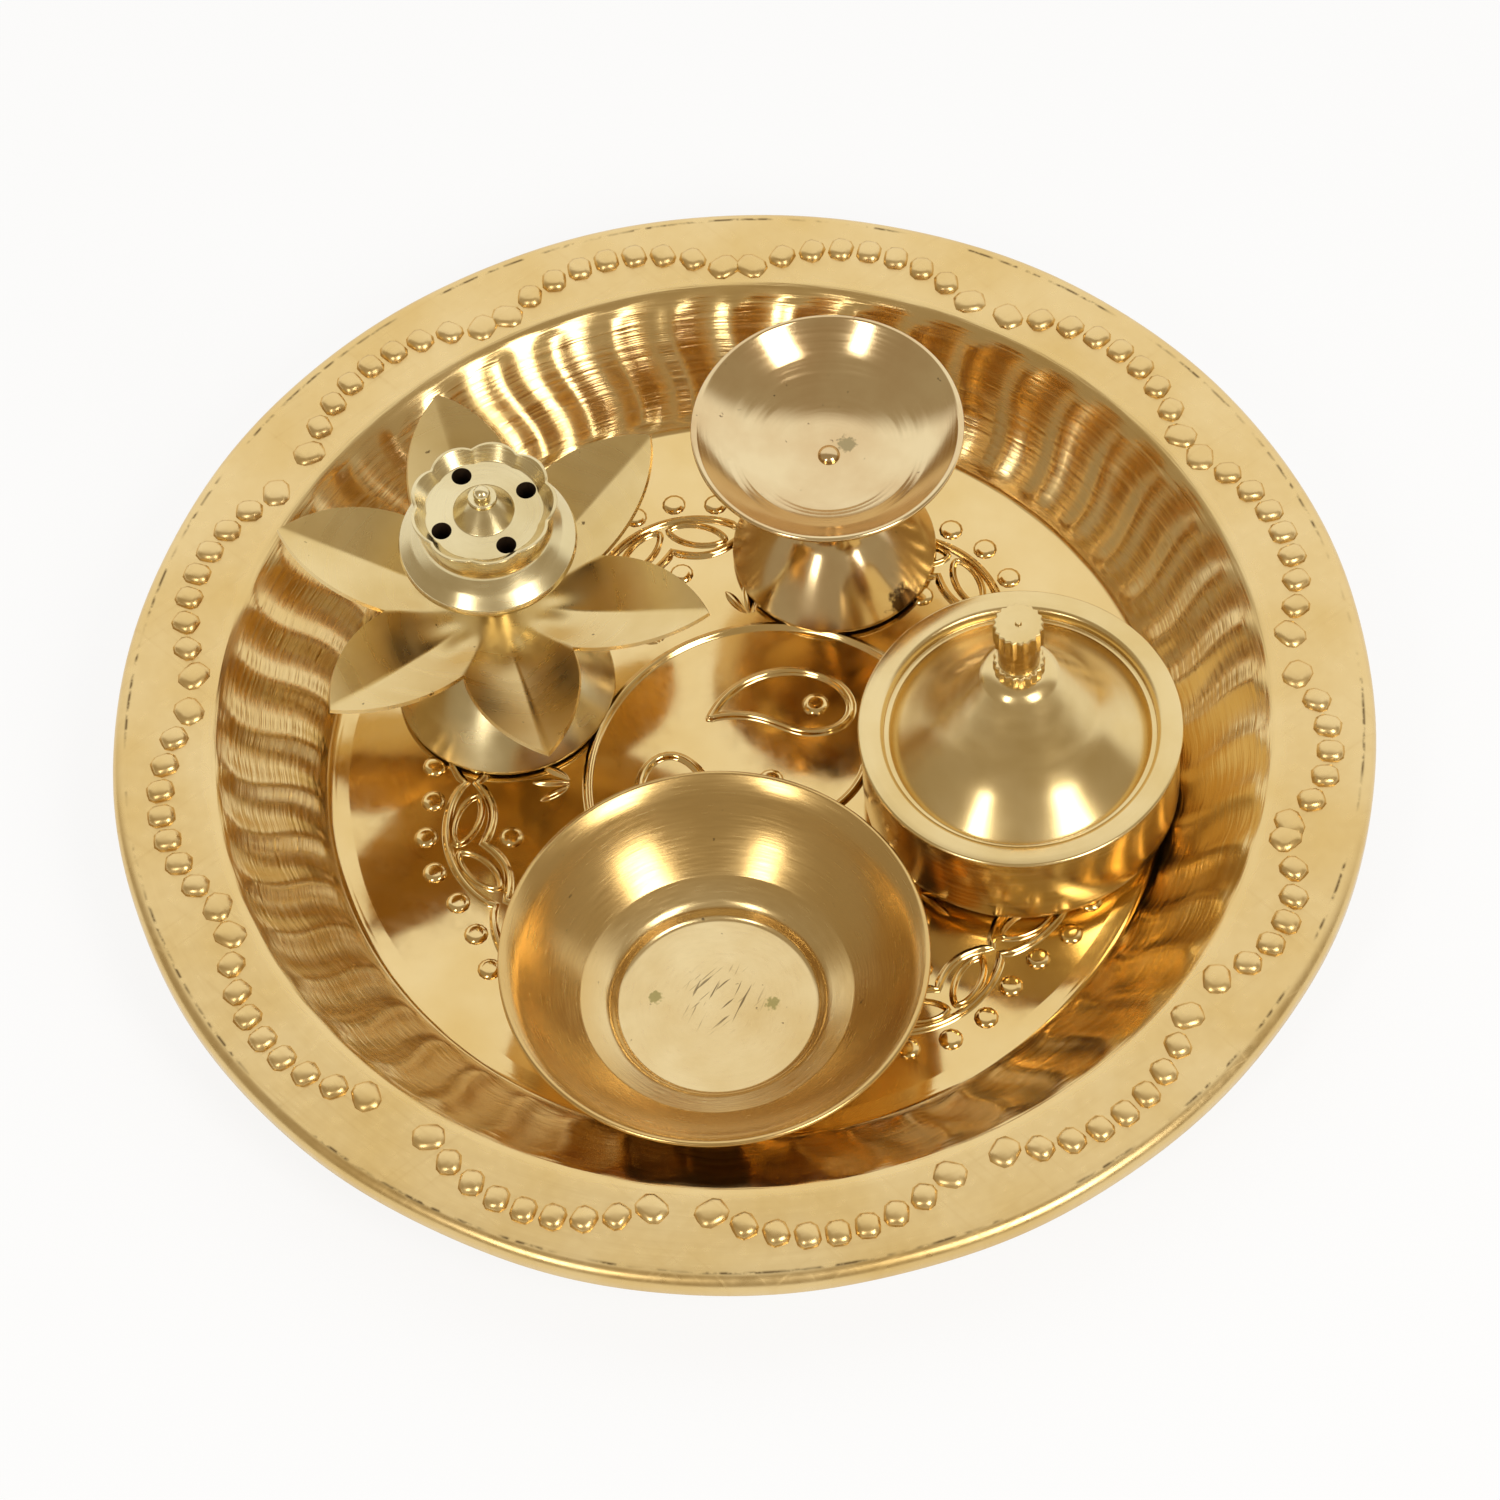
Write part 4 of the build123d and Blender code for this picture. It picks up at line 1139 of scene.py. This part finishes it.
class THALI_OT_lamp_rivet(bpy.types.Operator):
    """Model the rivet that holds dish and pedestal"""
    bl_idname = "thali.lamp_rivet"
    bl_label = "Lamp rivet"

    def execute(self, context):
        settings = context.scene.puja_thali
        sizes, axis, tail_bend = settings.lamp, axis_of("diya_rivet"), 0.2 * MM
        tail = sizes.tail_height
        head = tail + 2 * sizes.gauge
        corners = [
            (0, 0), (sizes.tail_radius, 0), (sizes.tail_radius, tail), (sizes.rivet_radius, tail),
            (sizes.rivet_radius, head), (sizes.head_radius, head),
        ]
        section = rounded(corners, [tail_bend, tail_bend, 0, 0])
        section += domed(sizes.head_radius, sizes.head_height, head)
        piece = spun("lamp_rivet_round", section, axis, 48, foot_of("diya_rivet"))
        settle(piece, lamp_brass(settings.colours, axis), "diya", "diya_rivet")
        return {"FINISHED"}


# Bowl
class THALI_OT_bowl(bpy.types.Operator):
    """Model the bowl with its small ledge, curved flare and turned-out lip"""
    bl_idname = "thali.bowl"
    bl_label = "Bowl"

    def execute(self, context):
        settings = context.scene.puja_thali
        sizes, colours, axis = settings.bowl, settings.colours, axis_of("katori_bowl")
        middle = sizes.gauge / 2
        path = [
            (0, middle), (sizes.floor_radius, middle), (sizes.step_radius, sizes.step_height),
            (sizes.ledge_radius, sizes.ledge_height), (sizes.belly_radius, sizes.belly_height),
            (sizes.lip_radius, sizes.lip_height), (sizes.rim_radius - middle, sizes.height - middle),
        ]
        bends = [sizes.floor_curve, sizes.step_curve, sizes.ledge_curve, sizes.belly_curve, sizes.lip_curve]
        section = sheet_section(path, bends, sizes.gauge)
        piece = spun("katori_spun", section, axis, 160, foot_of("katori_bowl"))
        floor = foot_of("katori_bowl") + sizes.gauge
        left_spot, right_spot, scratches = (
            axis + Vector((x * MM, y * MM, floor)) for x, y in ((-8.7, 2.2), (7.5, -0.3), (0.6, 1.2))
        )
        # The wall's deeper colour is a painted reflection of the bowl's gold inside
        finish = brass(
            "brushed_satin_brass", colours.bowl, colours.bowl_deep, axis, (0.18, 0.28), 0.45 * MM, 0.012 * MM,
            arcs=5.0, specks=colours.tarnish_and_shade, painted_wall_reflection=(14.6 * MM, 20 * MM, colours.bowl_wall_painted_reflection),
            stains=[(spot, 1.2 * MM, colours.verdigris, 0.75) for spot in (left_spot, right_spot)],
            scored=(scratches, 6.5 * MM, colours.tarnish_and_shade),
        )
        settle(piece, finish, "katori", "katori_bowl")
        return {"FINISHED"}


# Powder box
class THALI_OT_box(bpy.types.Operator):
    """Model the straight body of the powder box"""
    bl_idname = "thali.box"
    bl_label = "Powder box"

    def execute(self, context):
        settings = context.scene.puja_thali
        sizes, axis = settings.box, axis_of("kumkum_box")
        middle = sizes.gauge / 2
        wall = sizes.radius - middle
        path = [(0, middle), (wall, middle), (wall, sizes.height - middle)]
        section = sheet_section(path, [sizes.corner], sizes.gauge)
        piece = spun("powder_box_body", section, axis, 144, foot_of("kumkum_box"))
        settle(piece, box_brass(settings.colours, axis), "powder_box", "kumkum_box")
        return {"FINISHED"}


class THALI_OT_lid(bpy.types.Operator):
    """Model the lid with its flange, groove and flared dome"""
    bl_idname = "thali.lid"
    bl_label = "Lid"

    def execute(self, context):
        settings = context.scene.puja_thali
        sizes, axis = settings.box, axis_of("kumkum_lid")
        middle = sizes.lid_gauge / 2
        ring = sizes.radius - sizes.gauge - sizes.ring_gap - middle
        groove = ring - sizes.groove_width
        path = [
            (sizes.screw_hole, sizes.dome_height + middle),
            (sizes.crown_radius, sizes.dome_height + middle),
            (groove - sizes.flare_inset, sizes.flare_height),
            (groove, middle - sizes.ring_depth),
            (ring, middle - sizes.ring_depth),
            (ring, middle),
            (sizes.radius + sizes.overhang - middle, middle),
        ]
        bends = [sizes.crown_curve, sizes.flare_curve] + 3 * [sizes.groove_curve]
        section = sheet_section(path, bends, sizes.lid_gauge)
        piece = spun("powder_lid_dome", section, axis, 160, foot_of("kumkum_box") + sizes.height)
        settle(piece, box_brass(settings.colours, axis), "powder_lid", "kumkum_lid")
        return {"FINISHED"}


class THALI_OT_knob(bpy.types.Operator):
    """Model the knob with its knurled foot and head"""
    bl_idname = "thali.knob"
    bl_label = "Knob"

    def execute(self, context):
        settings = context.scene.puja_thali
        sizes, axis = settings.box, axis_of("kumkum_knob")
        foot, top, tip = sizes.knob_foot_height, sizes.knob_height, sizes.knob_height + sizes.pip_height
        head = top - sizes.knob_top_height
        corners = [
            (0, 0), (sizes.knob_foot_radius, 0), (sizes.knob_foot_radius, foot),
            (sizes.knob_waist_radius, foot), (sizes.knob_waist_radius, head),
            (sizes.knob_top_radius, head), (sizes.knob_top_radius, top),
            (sizes.pip_radius, top), (sizes.pip_radius * 0.7, tip), (0, tip),
        ]
        bends = [bend * MM for bend in (0.15, 0.3, 0.1, 0.1, 0.15, 0.25, 0.05, 0.1)]
        section = rounded(corners, bends)
        piece = spun("powder_lid_knob", section, axis, 4 * sizes.knob_teeth, foot_of("kumkum_knob"))
        points = points_of(piece) - np.array(axis)
        radius, azimuth = to_polar(points)
        ridge_share = 0.5 - 0.5 * np.cos(sizes.knob_teeth * azimuth)
        toothed = radius > sizes.knob_waist_radius + 0.1 * MM
        points[:, :2] *= (1 - toothed * ridge_share * sizes.tooth_depth / np.maximum(radius, MM))[:, None]
        move_points(piece, points + np.array(axis))
        settle(piece, box_brass(settings.colours, axis), "powder_lid", "kumkum_knob")
        return {"FINISHED"}


class THALI_OT_screws(bpy.types.Operator):
    """Give the hidden screws their brass"""
    bl_idname = "thali.screws"
    bl_label = "Screws"

    def execute(self, context):
        for node in ("incense_screw", "kumkum_knob_screw"):
            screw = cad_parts[node]
            screw.data.materials.clear()
            screw.data.materials.append(turned_brass(context.scene.puja_thali.colours, axis_of(node)))
        return {"FINISHED"}


# Stage
class THALI_OT_stage(bpy.types.Operator):
    """Set the pale floor, the soft lights and the camera"""
    bl_idname = "thali.stage"
    bl_label = "Stage"

    def execute(self, context):
        floor_size, floor_drop = 30, -0.02 * MM
        deselect()
        bpy.ops.mesh.primitive_plane_add(size=floor_size, location=(0, 0, floor_drop))
        floor = context.object
        floor.name = "pale_floor"
        floor.data.materials.append(pale_floor(context.scene.puja_thali.colours))
        light_world(context.scene)
        for box in SOFTBOXES:
            softbox(*box)
        place_camera(context.scene)
        context.scene.view_settings.view_transform = "Standard"
        return {"FINISHED"}


def pale_floor(colours):
    """Matt white paper: seen directly or mirrored it glows as a lit sweep does, and it keeps shadows."""
    fibre_size, glow_share = 2 * MM, 0.86
    material = bpy.data.materials.new("matt_paper")
    node = emptied(material)
    place = node("TexCoord")["Object"]
    fibre = node("TexNoise", {"Vector": place, "Scale": 1 / fibre_size, "Detail": 2.0})["Fac"]
    bump = node("Bump", {"Height": fibre, "Strength": 0.1, "Distance": 0.01 * MM})[0]
    paper = node("BsdfDiffuse", {"Color": colours.floor, "Normal": bump})[0]
    glow = node("Emission", {"Color": (1, 1, 1, 1), "Strength": 1.0})[0]
    rays = node("LightPath")
    seen = rays["Is Camera Ray"]
    for other in ("Is Glossy Ray", "Is Transmission Ray"):
        seen = node("Math", (seen, rays[other]), operation="MAXIMUM")[0]
    share = node("MapRange", (seen, 0, 1, 0, glow_share))[0]
    node("OutputMaterial", {"Surface": node("MixShader", (share, paper, glow))[0]})
    return material


def light_world(scene):
    """White sweep behind the object, dimmer warm room above and in front of it."""
    room, sweep, sweep_direction = (0.42, 0.35, 0.25, 1), (1.05, 1.05, 1.05, 1), (0.2, 0.975, 0.1)
    scene.world = bpy.data.worlds.new("studio")
    node = emptied(scene.world)
    direction = node("TexCoord")["Generated"]
    facing = node("VectorMath", (direction, sweep_direction), operation="DOT_PRODUCT")["Value"]
    share = node("MapRange", (facing, 0.25, 0.41))[0]
    light = node("Mix", {0: share, 6: room, 7: sweep}, data_type="RGBA")[2]
    node("OutputWorld", {"Surface": node("Background", {"Color": light})[0]})


def softbox(name, azimuth, elevation, width, height, radiance):
    """Oblong lamp one metre away that faces the object; azimuth runs from the camera's side to the right."""
    turn, rise = math.radians(azimuth), math.radians(elevation)
    away = Vector((math.sin(turn) * math.cos(rise), -math.cos(turn) * math.cos(rise), math.sin(rise)))
    deselect()
    bpy.ops.object.light_add(type="AREA", location=away)
    lamp = bpy.context.object
    lamp.name = name
    lamp.rotation_euler = (-away).to_track_quat("-Z", "Y").to_euler()
    lamp.data.shape = "RECTANGLE"
    lamp.data.size, lamp.data.size_y = width, height
    lamp.data.energy = radiance * math.pi * width * height


def place_camera(scene):
    """Camera at the photograph's viewing angle, one metre from the plate's middle."""
    elevation, roll = math.radians(58.34), math.radians(-4.72)
    distance, target = 1.0, Vector((0, 0, 0.8 * MM))
    frame_pixels, focal_pixels, centre_pixel = 1500, 7047.2, (746.51, 771.23)
    ahead = Vector((0, math.cos(elevation), -math.sin(elevation)))
    up = Vector((0, math.sin(elevation), math.cos(elevation)))
    right = Vector((1, 0, 0))
    rolled_right = right * math.cos(roll) + up * math.sin(roll)
    rolled_up = up * math.cos(roll) - right * math.sin(roll)
    deselect()
    bpy.ops.object.camera_add()
    camera = bpy.context.object
    camera.name = "view_camera"
    turn = Matrix((rolled_right, rolled_up, -ahead)).transposed().to_4x4()
    camera.matrix_world = Matrix.Translation(target - ahead * distance) @ turn
    camera.data.sensor_width = 36
    camera.data.lens = camera.data.sensor_width * focal_pixels / frame_pixels
    camera.data.shift_x = (frame_pixels / 2 - centre_pixel[0]) / frame_pixels
    camera.data.shift_y = (centre_pixel[1] - frame_pixels / 2) / frame_pixels
    camera.data.clip_start = 0.01
    scene.camera = camera


class THALI_PT_panel(bpy.types.Panel):
    """Lists the operators and the sizes of the thali"""
    bl_idname = "THALI_PT_panel"
    bl_label = "Puja Thali"
    bl_space_type = "VIEW_3D"
    bl_region_type = "UI"
    bl_category = "Thali"

    def draw(self, context):
        for operator in OPERATORS:
            self.layout.operator(operator.bl_idname)
        settings = context.scene.puja_thali
        # The first two properties of a group are its type and name
        for group in settings.bl_rna.properties.keys()[2:]:
            box = self.layout.box()
            box.label(text=group.title())
            for key in getattr(settings, group).bl_rna.properties.keys()[2:]:
                box.prop(getattr(settings, group), key)


GROUPS = (
    PlateSizes, ReliefSizes, IncenseSizes, LampSizes, BowlSizes, BoxSizes, FinishColours, ThaliSettings,
)
OPERATORS = (
    THALI_OT_plate, THALI_OT_incense_base, THALI_OT_incense_flower, THALI_OT_incense_cup,
    THALI_OT_lamp_pedestal, THALI_OT_lamp_dish, THALI_OT_lamp_rivet, THALI_OT_bowl, THALI_OT_box,
    THALI_OT_lid, THALI_OT_knob, THALI_OT_screws, THALI_OT_stage,
)
CLASSES = (*GROUPS, *OPERATORS, THALI_PT_panel)


def register():
    """Registers the classes and the settings."""
    for each in CLASSES:
        bpy.utils.register_class(each)
    bpy.types.Scene.puja_thali = PointerProperty(type=ThaliSettings)


def unregister():
    """Removes the settings and the classes."""
    del bpy.types.Scene.puja_thali
    for each in reversed(CLASSES):
        bpy.utils.unregister_class(each)


def main():
    """Models every piece and sets the stage."""
    register()
    for operator in OPERATORS:
        family, name = operator.bl_idname.split(".")
        getattr(getattr(bpy.ops, family), name)()


if __name__ == "__main__":
    main()
